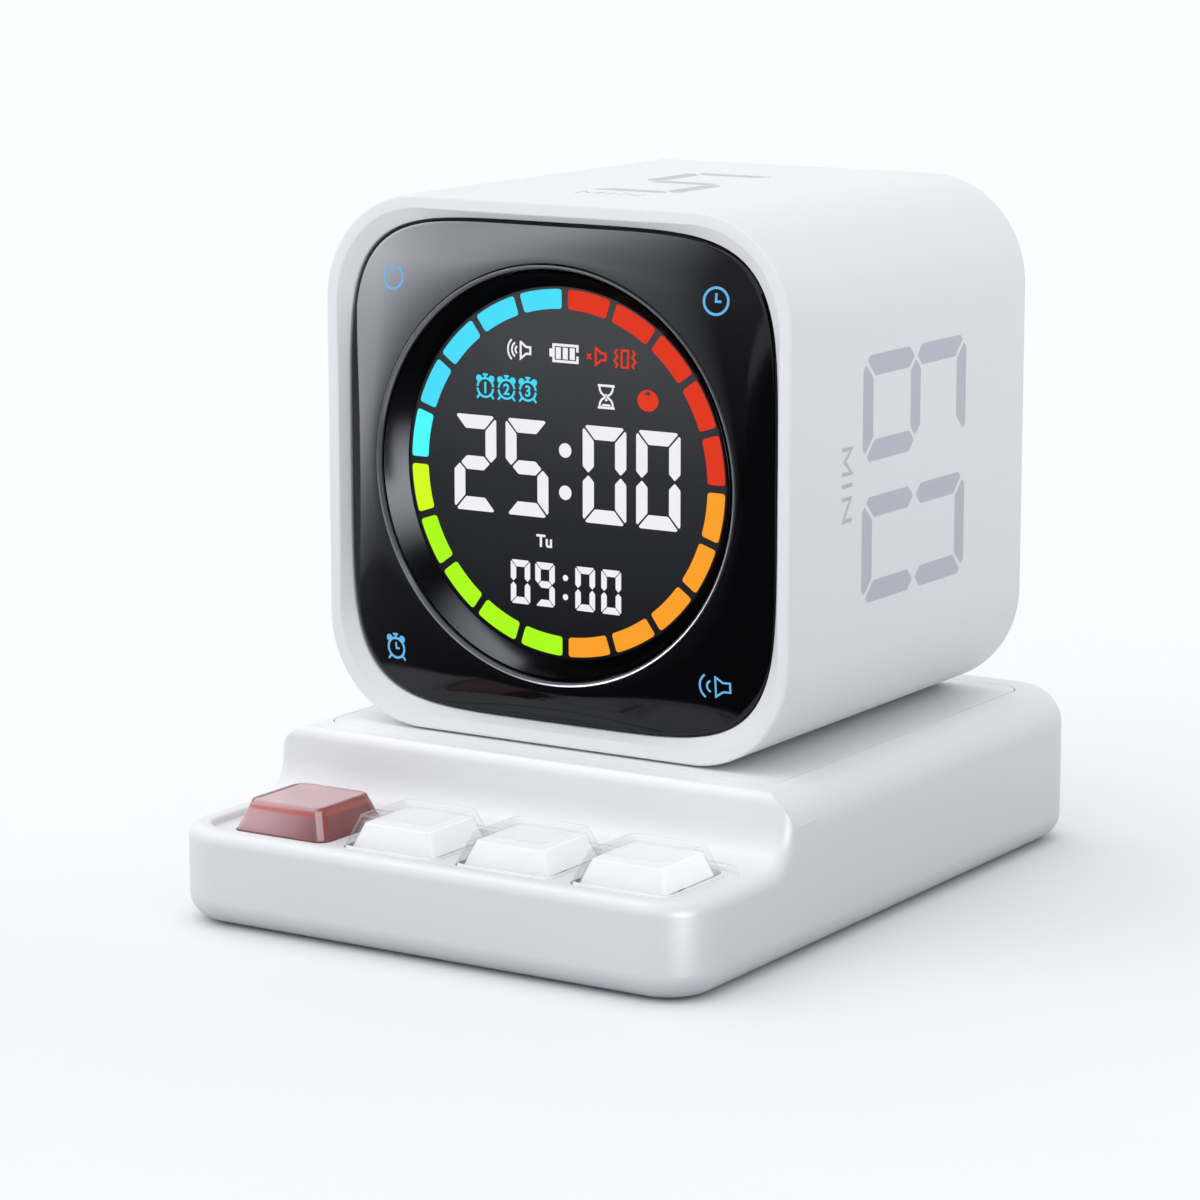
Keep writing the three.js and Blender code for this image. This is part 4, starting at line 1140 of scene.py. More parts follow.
share, home = walk.span(2, ALONG - 6), walk.span(ALONG - 4, ALONG - 1)
edge_in = walk.span(1, 2) * size["Seam"]
rim = outer * (size["Half"] - edge_in)
reach = rim + (size["Hole"] - rim) * share + (outer * size["Half"] - size["Hole"]) * home
swell = (share * (math.pi / 2)).math("SINE") * size["Crown"]
front = size["Edge"] - size["Seam"] + edge_in + swell
drop = 1 - walk.span(0, 1) + walk.span(ALONG - 6, ALONG - 5)
height = front + (size["Edge"] - size["Back"] - front) * drop.math("MINIMUM", 1)
spot = start.vector(reach * cosine, size["Centre Y"] - height, size["Centre Z"] + reach * sine)
shape = start.node("GeometryNodeMergeByDistance", {}, {"Geometry": shift(grid, spot), "Distance": MERGE})
close_tree(tree, shape, black_gloss)
panel = grow(seed("front_glass"), tree, {
    "Half": PANEL_HALF * MM, "Hole": PANEL_HOLE * MM, "Edge": PANEL_EDGE * MM, "Back": PANEL_BACK * MM,
    "Crown": CROWN * MM, "Seam": SEAM * MM, "Power": POWER, "Centre Y": DOCK_Y * MM, "Centre Z": CUBE_Z * MM,
})
smooth(tidy(panel), 35, False)
fit(panel, black_gloss, "cube", "black_gloss", "front_panel")

# %% [markdown]
# ## Trim ring, bezel and window
# These three are turned pieces, so a profile spun about the display's axis is exact: a slim bright ring,
# a black funnel that leads the eye inwards, and the dark window at its foot.

# %% Turned pieces of the display
RING_IN, RING_OUT, RING_BACK = 29.75, 30.3, RING_FRONT - 3.3
CONE_IN, CONE_OUT, CONE_RISE = 27.0, 29.45, 3.25
WINDOW_OUT, WINDOW_BACK, WINDOW_EDGE = 29.4, WINDOW_FRONT - 1, 0.15
CONE_FOOT = WINDOW_FRONT + 0.3
ring = turned("bright_ring", soften([
    (RING_IN, RING_BACK), (RING_OUT, RING_BACK), (RING_OUT, RING_FRONT), (RING_OUT - 0.05, RING_FRONT),
    (RING_OUT - 0.24, RING_FRONT - 0.13), (RING_IN, RING_FRONT - 0.55),
], 0.05), in_cube, 256)
fit(smooth(ring, 50, False), silver_trim, "cube", "silver_trim", "trim_ring")
cone = turned("black_funnel", soften([
    (CONE_IN, CONE_FOOT), (CONE_OUT, CONE_FOOT), (CONE_OUT, CONE_FOOT + CONE_RISE),
    (CONE_OUT - 0.25, CONE_FOOT + CONE_RISE), (CONE_IN, CONE_FOOT + 0.1),
], 0.08), in_cube, 256)
fit(smooth(cone, 35, False), black_funnel, "cube", "black_gloss", "bezel_cone")


def smoked_window():
    """Dark display glass with painted light that makes it a little lighter towards the top, and a fine grid
    of unlit points under it.
    """
    made, draw, shader = material("display_face", IOR=1.25)
    place = object_place(draw)
    # painted light: the glass grows lighter towards the top
    rise = place.xyz()[2].span((CUBE_Z - 26) * MM, (CUBE_Z + 26) * MM)
    points = draw.node("ShaderNodeTexVoronoi", {}, {"Vector": place, "Scale": 2600.0, "Randomness": 0.0})
    film = object_noise(draw, 8, 3)
    tone = draw.node("ShaderNodeValToRGB", {"stops": [
        (0.0, shade(22, 23, 27)), (0.5, shade(54, 55, 59)), (1.0, shade(86, 87, 91)),
    ]}, {"Fac": rise})
    feed(
        shader,
        Base_Color=(points * 0.25 + film * 0.2).mix(tone, shade(30, 31, 35)),
        Roughness=0.3 + 0.12 * film + 0.05 * points,
    )
    return made


display_face = smoked_window()
window = turned("dark_window", [
    (0, WINDOW_BACK), (WINDOW_OUT - WINDOW_EDGE, WINDOW_BACK), (WINDOW_OUT, WINDOW_BACK + WINDOW_EDGE),
    (WINDOW_OUT, WINDOW_FRONT - WINDOW_EDGE), (WINDOW_OUT - WINDOW_EDGE, WINDOW_FRONT), (0, WINDOW_FRONT),
], in_cube)
fit(smooth(window, 35, False), display_face, "cube", "display_face", "display_window")

# %% [markdown]
# ## The ring of lit segments
# Twenty equal segments show the time that is left. One segment is drawn, and Geometry Nodes repeats it round
# the display. The tree writes each copy's number into an attribute, from which the material takes its colour.

# %% One lit segment
SEGMENTS, OUTER, INNER, GAP, SEGMENT_CORNER, ARC_STEPS = 20, 26.6, 23.75, 1.1, 0.5, 10
LIT = dict(Base_Color=(0.002, 0.002, 0.002, 1), Roughness=0.4, IOR=1.25)
half_out, half_in = (180 / SEGMENTS - math.degrees(GAP / 2 / radius) for radius in (OUTER, INNER))
sector = arc(0, 0, OUTER, 90 - half_out, 90 + half_out, ARC_STEPS)
sector += arc(0, 0, INNER, 90 + half_in, 90 - half_in, ARC_STEPS)
outline = []
for i, here in enumerate(sector):
    if i % (ARC_STEPS + 1) in (0, ARC_STEPS):
        outline += bend(sector[i - 1], here, sector[(i + 1) % len(sector)], SEGMENT_CORNER, 5)
    else:
        outline.append(here)
one = sheet_of("one_segment", [outline], lambda x, y, h: (x, -h, y), 0.01, 0.05)


def lit_colours():
    """Emission picked by the segment's number: red, orange, green, blue, clockwise from the top."""
    made, draw, shader = material("lit_segments", **LIT)
    number = draw.node("ShaderNodeAttribute", {"attribute_name": "step"}, out="Fac")
    colours = [(0, (227, 58, 34)), (5, (255, 163, 43)), (10, (174, 255, 31)), (14, (216, 255, 37)),
               (15, (82, 255, 255)), (16, (77, 225, 255))]
    stops = [(max(first - 0.5, 0) / SEGMENTS, shade(*colour)) for first, colour in colours]
    settings = {"interpolation": "CONSTANT", "stops": stops}
    tone = draw.node("ShaderNodeValToRGB", settings, {"Fac": number / SEGMENTS})
    dim = draw.node("ShaderNodeVectorMath", {"operation": "SCALE"}, {0: tone, "Scale": 0.94})
    light_up(shader, object_noise(draw, 2.5, 2).mix(dim, tone))
    return made


lit_finish = lit_colours()
print("one segment of", len(outline), "points, lit by", lit_finish.name)

# %% Ring of segments
tree, size = geometry_tree("segment_ring", ["Count", "Centre Y", "Centre Z"])
start = size["Count"]
points = scatter(start, start.vector(0.0, size["Centre Y"], size["Centre Z"]))
number = start.node("GeometryNodeInputIndex")
tilt = start.vector(0.0, (number + 0.5) * (2 * math.pi) / start)
shape = start.node("GeometryNodeInstanceOnPoints", {}, {
    "Points": points, "Instance": size["Geometry"], "Rotation": tilt,
})
shape = start.node(
    "GeometryNodeStoreNamedAttribute", {"data_type": "FLOAT", "domain": "INSTANCE"},
    {"Geometry": shape, "Name": "step", "Value": number},
)
close_tree(tree, shape, lit_finish)
lit_ring = grow(one, tree, {
    "Count": SEGMENTS, "Centre Y": (DOCK_Y - WINDOW_FRONT) * MM, "Centre Z": CUBE_Z * MM,
})
lit_ring.name = "lit_ring"
lit_ring.visible_glossy = False
fit(lit_ring, lit_finish, "cube", "display_face")

# %% [markdown]
# ## What the display shows
# The signs are flat lit shapes just in front of the window. Each colour is its own thin piece, with light at
# a strength of 1, so that it renders as it is written. The signs are everyday ones: a battery, a speaker,
# an alarm clock, an hour-glass, and the time in seven-bar numerals.

# %% Times
white_signs = numerals("2500", (-15.5, -6.55, 6.64, 15.62), 0.385, LARGE_FORM)
white_signs += numerals("0900", (-7.75, -3.51, 3.36, 7.77), -16.42, SMALL_FORM)
dots = ((3.45, 1.05), (-2.68, 1.05), (-15.1, 0.45), (-17.9, 0.45))
white_signs += [circle(0, y, radius) for y, radius in dots]
white_signs += moved(words("Tu", 1.85), -3.63, -10.05)
print("time signs:", len(white_signs), "outlines")

# %% Signs
THIN = 0.32


def mirrored(upper):
    """The way back along the lower half of a sign that is the same above and below."""
    return [(x, -y) for x, y in reversed(upper)]


def both_sides(points, width):
    """A stroke and its mirror image to the left."""
    return [stroke([(s * x, y) for x, y in points], width) for s in (-1, 1)]


def speaker_sign():
    """A loudspeaker seen from the side, its wide mouth to the left."""
    upper = [(0.0, 1.2), (0.95, 0.48), (1.65, 0.48)]
    return [stroke(upper + mirrored(upper) + [(0.0, 1.3)], THIN)]


def battery_sign():
    """A case that is open where its knob is, with three full cells."""
    upper = [(2.05, 0.28), (2.05, 1.17), (-2.0, 1.17)]
    cells = [box(x - 0.42, -0.84, x + 0.42, 0.84) for x in (-1.18, 0.0, 1.18)]
    return [stroke(upper + mirrored(upper), 0.38), *cells, soften(box(-2.7, -0.6, -2.15, 0.6), 0.2)]


def clock_sign(number):
    """A small alarm clock with two bells, a knob, two feet and a number on its face."""
    face = [ring_stroke(0, -0.25, 1.36, THIN, start, start + 170) for start in (5, 185)]
    bells = [circle(-1.08, 1.05, 0.5), circle(1.08, 1.05, 0.5)]
    knob = [box(-0.16, 1.05, 0.16, 1.6), box(-0.42, 1.5, 0.42, 1.8)]
    feet = both_sides([(0.95, -1.25), (1.45, -1.85)], 0.3)
    return face + bells + knob + feet + (moved(words(number, 1.65), 0, -0.25) if number else [])


def hourglass_sign():
    """Two end plates, the waisted glass between them, and sand."""
    ends = [stroke([(-1.4, s * 1.58), (1.4, s * 1.58)], 0.34) for s in (-1, 1)]
    upper = [(1.1, 1.55), (1.08, 1.0), (0.82, 0.5), (0.24, 0.08)]
    glass = both_sides(upper + mirrored(upper), 0.3)
    heap = [(-0.8, -1.35), (0.8, -1.35), (0.6, -1.05), (-0.6, -1.05)]
    return ends + glass + [heap, circle(0, 0.3, 0.14), circle(0, -0.45, 0.2)]


def shaking_sign():
    """A slab between two zigzag lines."""
    slab_line = stroke([(-0.53, 1.2), (0.53, 1.2), (0.53, -1.2), (-0.53, -1.2), (-0.53, 1.36)], THIN)
    zigzag = [(1.3, 1.32), (1.65, 0.85), (1.25, 0.28), (1.75, -0.3), (1.25, -0.85), (1.55, -1.32)]
    return [slab_line] + both_sides(zigzag, THIN)


def sound_waves(x, y, width, waves):
    """Arcs that open to the left, each with its radius and half its angle."""
    return [ring_stroke(x, y, radius, width, 180 - half, 180 + half, 12) for radius, half in waves]


print("sign makers ready")

# %% Signs in their places
FRUIT_X, FRUIT_Y, LEAF_LIFT = 13.89, 11.65, 1.0
white_signs += moved(speaker_sign(), -7.55, 17.4)
white_signs += sound_waves(-7.85, 17.4, 0.28, ((1.88, 49), (1.2, 56), (0.6, 58)))
white_signs += moved(battery_sign(), 0.06, 17.4) + moved(hourglass_sign(), 6.94, 11.7)
red_signs = moved(speaker_sign(), 5.2, 17.37) + moved(shaking_sign(), 10.06, 17.3)
red_signs += moved([stroke([(-0.33, -0.38 * s), (0.33, 0.38 * s)], 0.26) for s in (-1, 1)], 4.07, 17.3)
fruit = [(1.68 * math.cos(t) * (1 + 0.03 * math.cos(2 * t)), 1.55 * math.sin(t)) for t in full_turn(47)]
red_signs += moved([fruit], FRUIT_X, FRUIT_Y)
points = [(0.66 * math.cos(t), 0.46 * math.sin(t)) for t in full_turn(14)]
leaf = [(x, y) if i % 2 else (0.4 * x, 0.4 * y) for i, (x, y) in enumerate(points)]
clocks = ((-13.69, "1"), (-10.03, "2"), (-6.35, "3"))
blue_signs = [outline for x, number in clocks for outline in moved(clock_sign(number), x, 11.78)]
print("signs:", len(white_signs), "white,", len(red_signs), "red,", len(blue_signs), "blue outlines")

# %% Lit signs as pieces
def lit(name, colour):
    """A lit sign: its light is even, with the slightest fall-off from point to point."""
    made, draw, shader = material(name, **LIT)
    light_up(shader, object_noise(draw, 1.5, 2).mix(darker(colour, 0.93), colour))
    return made


def on_window(x, y, h):
    return in_cube(x, y, WINDOW_FRONT + h)


for name, outlines, colour in (
    ("white", white_signs, shade(244, 244, 248)),
    ("red", red_signs, shade(230, 62, 36)),
    ("blue", blue_signs, shade(74, 222, 255)),
):
    signs = sheet_of(f"{name}_signs", outlines, on_window, 0.01, 0.04)
    fit(signs, lit(f"lit_{name}", colour), "cube", "display_face")
fruit_leaf = sheet_of("fruit_leaf", moved([leaf], FRUIT_X, FRUIT_Y + LEAF_LIFT), on_window, 0.045, 0.06)
fit(fruit_leaf, display_face, "cube", "display_face")

# %% [markdown]
# ## Touch signs on the panel
# Four pale blue signs glow in the panel's corners. They follow the panel's swell: each point is lifted to
# the height that the panel's own rule gives there, plus a hair.

# %% Touch signs
def panel_height(u, v):
    """The panel's own rule: how far it stands out at (u, v)."""
    rim = (PANEL_HALF - SEAM) * unit_reach(u, v, POWER)
    share = min(max((rim - math.hypot(u, v)) / (rim - PANEL_HOLE), 0), 1)
    return PANEL_EDGE + CROWN * math.sin(math.pi / 2 * share)


def on_panel(x, y, h):
    return in_cube(x, y, panel_height(x, y) + h)


def power_sign():
    return [ring_stroke(0, -0.1, 1.75, 0.36, 125, 415, 30), stroke([(0, 0.3), (0, 1.95)], 0.36)]


def dial_sign():
    return [ring_stroke(0, 0, 1.85, 0.36), stroke([(0, 1.1), (0, -0.05), (0.8, -0.05)], 0.34)]


def alarm_sign():
    """The same alarm clock, larger, with a closed rim and two hands."""
    hands = [ring_stroke(0, -0.28, 1.5, 0.36), stroke([(0, 0.6), (0, -0.3), (0.62, -0.3)], 0.3)]
    return moved(clock_sign(""), 0, 0, 1.1) + hands


def sound_sign():
    """A larger loudspeaker with two waves before its mouth."""
    upper = [(0.16, 1.62), (1.45, 0.76), (2.7, 0.76)]
    horn = stroke(upper + mirrored(upper) + [(0.16, 1.76)], THIN)
    waves = [ring_stroke(-0.38, 0, 2.26, 0.34, 125, 235, 16), ring_stroke(-0.41, 0, 0.95, 0.34, 110, 250, 14)]
    return [horn, *waves]


touch = moved(power_sign(), -27.59, 27.16) + moved(dial_sign(), 26.82, 26.88)
touch += moved(alarm_sign(), -27.77, -27.55) + moved(sound_sign(), 26.85, -27.5, 0.88)
touch_signs = sheet_of("touch_signs", touch, on_panel, 0.004, 0.02)
fit(touch_signs, lit("lit_touch", shade(109, 185, 240)), "cube", "display_face")

# %% [markdown]
# ## The keys
# Each key is an acrylic cap over a white core, and the left cap is tinted red. The cap is a loft with a
# raised rim round a dished top. A cavity is cut into it, so it is a true solid with walls of its own, and the
# core stands inside. The core's underside takes the stem of the switch.

# %% Key caps and cores
CAP_WALL, CAP_CORNER, CORE_CORNER, CORE_EDGE = 0.95, 2, 1, 0.2
CAP_EDGE_DROP, CAP_EDGE_IN = 0.35, 0.3
RIM_HALF, RIM_CORNER, RIM_DROP, DISH = TOP_HALF - 0.75, 1.3, 0.12, 0.4
SKIRT_ROOM, CUT_FOOT, NEST_FOOT, NEST_ROOF = 7.2, 5, 0.2, 0.25
STEM_WIDTH, STEM_DEPTH, STEM_RISE = 4.6, 3.6, 1.3


def key_half(z):
    return SKIRT - KEY_SLOPE * max(z - CORE_LOW, 0)


def key_ring(half, corner, z, x):
    return level(inset_square(half, corner, x=x, y=KEY_Y, steps=8), z)


def key_cap(tag, x):
    """One cap: a skirt, sloping walls, a rounded top edge, a rim and a shallow dish; then its cavity."""
    rings = [key_ring(SKIRT, CAP_CORNER, z, x) for z in (KEY_LOW, CORE_LOW)]
    edge_half = key_half(KEY_TOP - CAP_EDGE_DROP)
    for drop, inset in fillet(1):
        half, z = edge_half - CAP_EDGE_IN * inset, KEY_TOP - CAP_EDGE_DROP * drop
        rings.append(key_ring(half, CAP_CORNER, z, x))
    rings.append(key_ring(RIM_HALF + 0.15, RIM_CORNER + 0.15, KEY_TOP - 0.02, x))
    for s in (1, 0.92, 0.8, 0.6, 0.4, 0.2):
        z = KEY_TOP - RIM_DROP - (DISH - RIM_DROP) * (1 - s * s)
        rings.append(key_ring(RIM_HALF * s, RIM_CORNER * s, z, x))
    cap = loft(f"key_cap_{tag}", rings)
    nest = loft("nest", [
        key_ring(key_half(CORE_LOW) - CAP_WALL, CORE_CORNER, CORE_LOW - NEST_FOOT, x),
        key_ring(key_half(CORE_TOP) - CAP_WALL, CORE_CORNER, CORE_TOP + NEST_ROOF, x),
    ])
    skirt = loft("skirt", [key_ring(SKIRT_ROOM, CORE_CORNER, z, x) for z in (CUT_FOOT, CORE_LOW - 0.1)])
    return smooth(combine(cap, [nest, skirt]), 30)


def key_core(tag, x):
    """One core: a block with sloping walls and a rounded top edge, with a socket underneath."""
    rings = [key_ring(key_half(CORE_LOW) - CORE_STEP, CORE_CORNER, CORE_LOW, x)]
    edge_half = key_half(CORE_TOP - CORE_EDGE) - CORE_STEP
    for drop, inset in fillet(CORE_EDGE, 4):
        rings.append(key_ring(edge_half - inset, CORE_CORNER, CORE_TOP - drop, x))
    core = loft(f"key_heart_{tag}", rings)
    stem = rounded_rect(STEM_WIDTH, STEM_DEPTH, 0.2, x=x, y=KEY_Y, steps=3)
    return smooth(combine(core, [prism("socket", stem, CUT_FOOT, CORE_LOW + STEM_RISE)]), 30)


for tag, x in enumerate(KEY_XS, 1):
    finish, slot_name = (red_shell, "red_shell") if tag == 1 else (clear_shell, "clear_shell")
    cap = fit(key_cap(tag, x), finish, f"key_{tag}", slot_name, f"key_shell_{tag}")
    cap.visible_shadow = False
    fit(key_core(tag, x), key_white, f"key_{tag}", "key_white", f"key_core_{tag}")

# %% [markdown]
# ## Rear cover
# The back is closed by a plain white cover with slots for the speaker, a charging inlet and four screws.
# The slots repeat along a line and shorten with the round speaker behind them: Geometry Nodes sets them out,
# and their mesh is the cutting tool.

# %% Speaker slots
tree, size = geometry_tree("grille_slots", [
    "Count", "Pitch", "Radius", "Width", "Centre X", "Centre Y", "Centre Z",
])
start = size["Count"]
offset = (start.node("GeometryNodeInputIndex") - (start - 1) / 2) * size["Pitch"]
points = scatter(start, start.vector(size["Centre X"], size["Centre Y"], size["Centre Z"] + offset))
block = start.node(
    "GeometryNodeMeshCylinder", {"fill_type": "NGON"},
    {"Vertices": 24, "Radius": size["Width"] / 2, "Depth": 10 * MM},
)
block = start.node("GeometryNodeTransform", {}, {"Geometry": block, "Rotation": (math.pi / 2, 0, 0)})
block = start.node("GeometryNodeInstanceOnPoints", {}, {"Points": points, "Instance": block})
block = start.node("GeometryNodeRealizeInstances", {}, {"Geometry": block})
x, y, z = start.node("GeometryNodeInputPosition").xyz()
row = ((z - size["Centre Z"]) / size["Pitch"]).math("ROUND") * size["Pitch"]
reach = (size["Radius"] * size["Radius"] - row * row) ** 0.5 - size["Width"] / 2
spot = start.vector(x + x.math("SIGN") * reach, y, z)
close_tree(tree, shift(block, spot), white_plastic)
slots = grow(seed("slots"), tree, {
    "Count": 5, "Pitch": 4 * MM, "Radius": 10.8 * MM, "Width": 1.6 * MM, "Centre X": 0,
    "Centre Y": (DOCK_Y + CUBE_FRONT) * MM, "Centre Z": (CUBE_Z + 5) * MM,
})
print("speaker slots:", len(slots.data.polygons), "faces")

# %% Rear cover
COVER_HALF, COVER_CORNER, COVER_EDGE, COVER_THICK = 36.5, 13.3, 0.3, 2
SCREW_SPOT, SINK_RADIUS, SINK_DEPTH, INLET_DOWN = 27.2, 2.5, 1.1, 24


def cover_ring(inset, w):
    return [in_cube(u, v, w) for u, v in inset_square(COVER_HALF, COVER_CORNER, inset)]


def at_inlet(u, v, w):
    return in_cube(u, v - INLET_DOWN, w)


rings = [cover_ring(a, BACK_W + b) for a, b in fillet(COVER_EDGE)]
cover = loft("rear_panel", rings + [cover_ring(0, BACK_W + COVER_THICK)])
spots = [(sx * SCREW_SPOT, sy * SCREW_SPOT) for sy in (-1, 1) for sx in (-1, 1)]
combine(cover, [
    tidy(slots),
    pill("inlet", INLET_WIDTH, INLET_HEIGHT, BACK_W - 2, BACK_W + 4, at_inlet),
    *[rod("sink", SINK_RADIUS, BACK_W - 2, BACK_W + SINK_DEPTH, u, v, in_cube) for u, v in spots],
    *[rod("bore", PILOT_RADIUS, BACK_W - 2, BACK_W + 4, u, v, in_cube) for u, v in spots],
])
fit(smooth(cover, 30), white_plastic, "cube", "white_plastic", "cube_rear_cover")

# %% [markdown]
# ## Screws, feet and sockets
# Small bought-in parts. One screw and one foot are turned from a profile, and Geometry Nodes sets a copy at
# each hole, so that all of a kind are alike.

# %% Screws and feet
FOOT_X, FOOT_Y = 26.375, 46.68


def repeated(name, one, spots, finish, turn=(0.0, 0.0, 0.0)):
    """Geometry Nodes puts one piece at every spot, turned the same way."""
    tree, size = geometry_tree(name, ["Turn X", "Turn Y", "Turn Z"])
    start = size["Geometry"]
    way = start.vector(size["Turn X"], size["Turn Y"], size["Turn Z"])
    gather = start.node("GeometryNodeJoinGeometry")
    for spot in spots:
        inputs = {"Geometry": start, "Translation": tuple(c * MM for c in spot), "Rotation": way}
        copy = start.node("GeometryNodeTransform", {}, inputs)
        tree.links.new(copy.socket, gather.socket.node.inputs[0])
    close_tree(tree, gather, finish)
    made = grow(one, tree, {"Turn X": turn[0], "Turn Y": turn[1], "Turn Z": turn[2]})
    made.name = name
    return made


def one_screw():
    """A pan-head screw, its head's rim at z = 0 and its tip up, with a cross recess."""
    head = [(0, -0.9), (1.2, -0.9), (1.7, -0.8), (2.05, -0.55), (2.2, -0.25), (2.2, -0.05), (2.15, 0)]
    thread = [(1.0, 0)] + [(1.0 - 0.14 * (k % 2), 0.3 + 0.28 * k) for k in range(18)]
    screw = turned("one_screw", head + thread + [(0.86, 5.6), (0.5, 6.3), (0, 6.4)], plain, 40)
    bars = [rounded_rect(w, d, 0.12, steps=3) for w, d in ((2.5, 0.55), (0.55, 2.5))]
    return smooth(combine(screw, [prism("cross", bar, -2, -0.42) for bar in bars]), 35)


def one_foot():
    """A soft round foot with a domed edge and two shallow grooves underneath."""
    inner = [(0, 0.06), (1.2, 0.06), (1.3, 0.22), (1.7, 0.22), (1.8, 0.03)]
    outer = [(3.0, 0), (3.1, 0.18), (3.5, 0.18), (3.6, 0)]
    edge = [(4.4, 0), (4.75, 0.08), (4.95, 0.3), (5, 0.6), (5, 1.05), (0, 1.05)]
    return smooth(turned("one_foot", inner + outer + edge, plain, 72), 40)


screw_places = [(x, y, COVER_TOP - 0.1) for x, y in bosses]
base_screws = repeated("base_screws", one_screw(), screw_places, steel)
fit(base_screws, steel, "base", "steel", *[f"base_screw_{i}" for i in range(1, 5)])
screw_places = [in_cube(u, v, BACK_W + 1.0) for u, v in spots]
cube_screws = repeated("cube_screws", one_screw(), screw_places, steel, (math.pi / 2, 0, 0))
fit(cube_screws, steel, "cube", "steel", *[f"cube_screw_{i}" for i in range(1, 5)])
foot_places = [(sx * FOOT_X, sy * FOOT_Y, 0) for sx in (-1, 1) for sy in (-1, 1)]
feet = repeated("soft_feet", one_foot(), foot_places, rubber_foot)
fit(feet, rubber_foot, "base", "rubber_foot", *[f"foot_{i}" for i in range(1, 5)])

# %% Charging sockets
SOCKET_WIDTH, SOCKET_DEPTH, SOCKET_WALL, SOCKET_BACK = 9.0, 7.95, 0.35, 8.8


def charging_socket(name, place):
    """A rounded steel can, open to the outside, with a tongue inside."""
    can = pill(name, SOCKET_WIDTH, SOCKET_HEIGHT, 0, SOCKET_DEPTH, place, 16)
    inner_width, inner_height = SOCKET_WIDTH - 2 * SOCKET_WALL, SOCKET_HEIGHT - 2 * SOCKET_WALL
    combine(can, [pill("hollow", inner_width, inner_height, 2, SOCKET_DEPTH + 1, place, 16)])
    tongue = prism("tongue", rounded_rect(6.4, 0.7, 0.2, steps=3), 1.5, 6.8, place)
    return smooth(combine(can, [tongue], "UNION"), 30)


base_inlet = charging_socket("base_inlet", lambda u, v, w: (u, BASE_Y - SOCKET_BACK + w, SOCKET_Z + v))
fit(base_inlet, steel, "base", "steel", "base_usb_socket")
socket_front = DOCK_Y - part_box("cube_usb_socket")[0].y / MM
cube_inlet = charging_socket("cube_inlet", lambda u, v, w: at_inlet(u, v, socket_front - w))
fit(cube_inlet, steel, "cube", "steel", "cube_usb_socket")

# %% [markdown]
# ## Return springs
# Under each key a small steel spring pushes it up again. A coil follows a path, so Geometry Nodes winds it:
# a spiral whose first and last turns lie closed, as on a real spring, with a round wire swept along it. When
# the key goes down its spring is pressed together.

# %% Coil rule
tree, size = geometry_tree("coil_rule", ["Turns", "Coil", "Wire", "Foot", "Head", "Centre X", "Centre Y"])
start = size["Turns"]
radius = size["Coil"]
spiral = start.node("GeometryNodeCurveSpiral", {}, {
    "Resolution": 28, "Rotations": start, "Start Radius": radius, "End Radius": radius, "Height": 0.0,
})
share = start.node("GeometryNodeSplineParameter")
closed = size["Wire"] * 1.06
ends = closed * (share.span(0, 1 / start) + share.span(1 - 1 / start, 1))
open_part = (size["Head"] - size["Foot"] - 2 * closed) * share.span(1 / start, 1 - 1 / start)
rise = size["Foot"] + ends + open_part
x, y, _ = start.node("GeometryNodeInputPosition").xyz()
spot = start.vector(x + size["Centre X"], y + size["Centre Y"], rise)
section = start.node("GeometryNodeCurvePrimitiveCircle", {}, {"Resolution": 12, "Radius": size["Wire"] / 2})
sweep = {"Curve": shift(spiral, spot), "Profile Curve": section, "Fill Caps": True}
shape = start.node("GeometryNodeCurveToMesh", {}, sweep)
close_tree(tree, shape, steel)
print("coil rule:", len(tree.nodes), "nodes")

# %% Springs
COIL_TURNS, COIL_RADIUS, COIL_WIRE = 4.5, 1.2, 0.36
for i, x in enumerate(KEY_XS, 1):
    low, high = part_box(f"switch_spring_{i}")
    coil = grow(seed(f"key_spring_{i}"), tree, {
        "Turns": COIL_TURNS, "Coil": COIL_RADIUS * MM, "Wire": COIL_WIRE * MM,
        "Foot": low.z + COIL_WIRE / 2 * MM, "Head": high.z - COIL_WIRE / 2 * MM,
        "Centre X": x * MM, "Centre Y": KEY_Y * MM,
    })
    fit(smooth(tidy(coil), 50, False), steel, "base", "steel", f"switch_spring_{i}")
    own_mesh(coil)

# %% [markdown]
# ## Pieces that stay as the CAD made them
# The inner parts are hidden in use, and their CAD shapes are right as they are. They only get the finishes
# made above, so that the model holds up when the cube is lifted or the cover is off.

# %% Finishes for the inner pieces
INNER_FINISH = {
    "base_cover": white_plastic, "base_board": board, "base_cell": cell_case, "segment_guide": light_guide,
    "display_board": board, "inner_frame": frame_grey, "battery_pack": cell_case, "main_board": board,
    "vibration_motor": steel, "speaker": switch_black,
}
for i in range(1, KEY_COUNT + 1):
    INNER_FINISH |= {f"switch_housing_{i}": switch_black, f"switch_top_{i}": switch_black}
    INNER_FINISH |= {f"switch_stem_{i}": key_white}
for node_name, finish in INNER_FINISH.items():
    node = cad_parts[node_name]
    node.data.materials.clear()
    node.data.materials.append(finish)
print(len(INNER_FINISH), "CAD nodes keep their shape")

# %% [markdown]
# ## Screens round the object
# A polished black panel shows nothing but what stands round it, so a photographer lights it with white
# screens: a broad one to the left that fades out towards the camera for the panel, a tall one to the right
# and one overhead for the funnel, and two small ones that draw the light edges of the base. Each screen is
# linked to the few pieces whose highlight it makes, so it adds no light elsewhere.

# %% Softboxes
SCREEN_TINT = (0.93, 0.95, 1)


def unseen(made):
    """A studio aid that shows in polished pieces only."""
    made.visible_camera = made.visible_diffuse = made.visible_shadow = made.visible_transmission = False


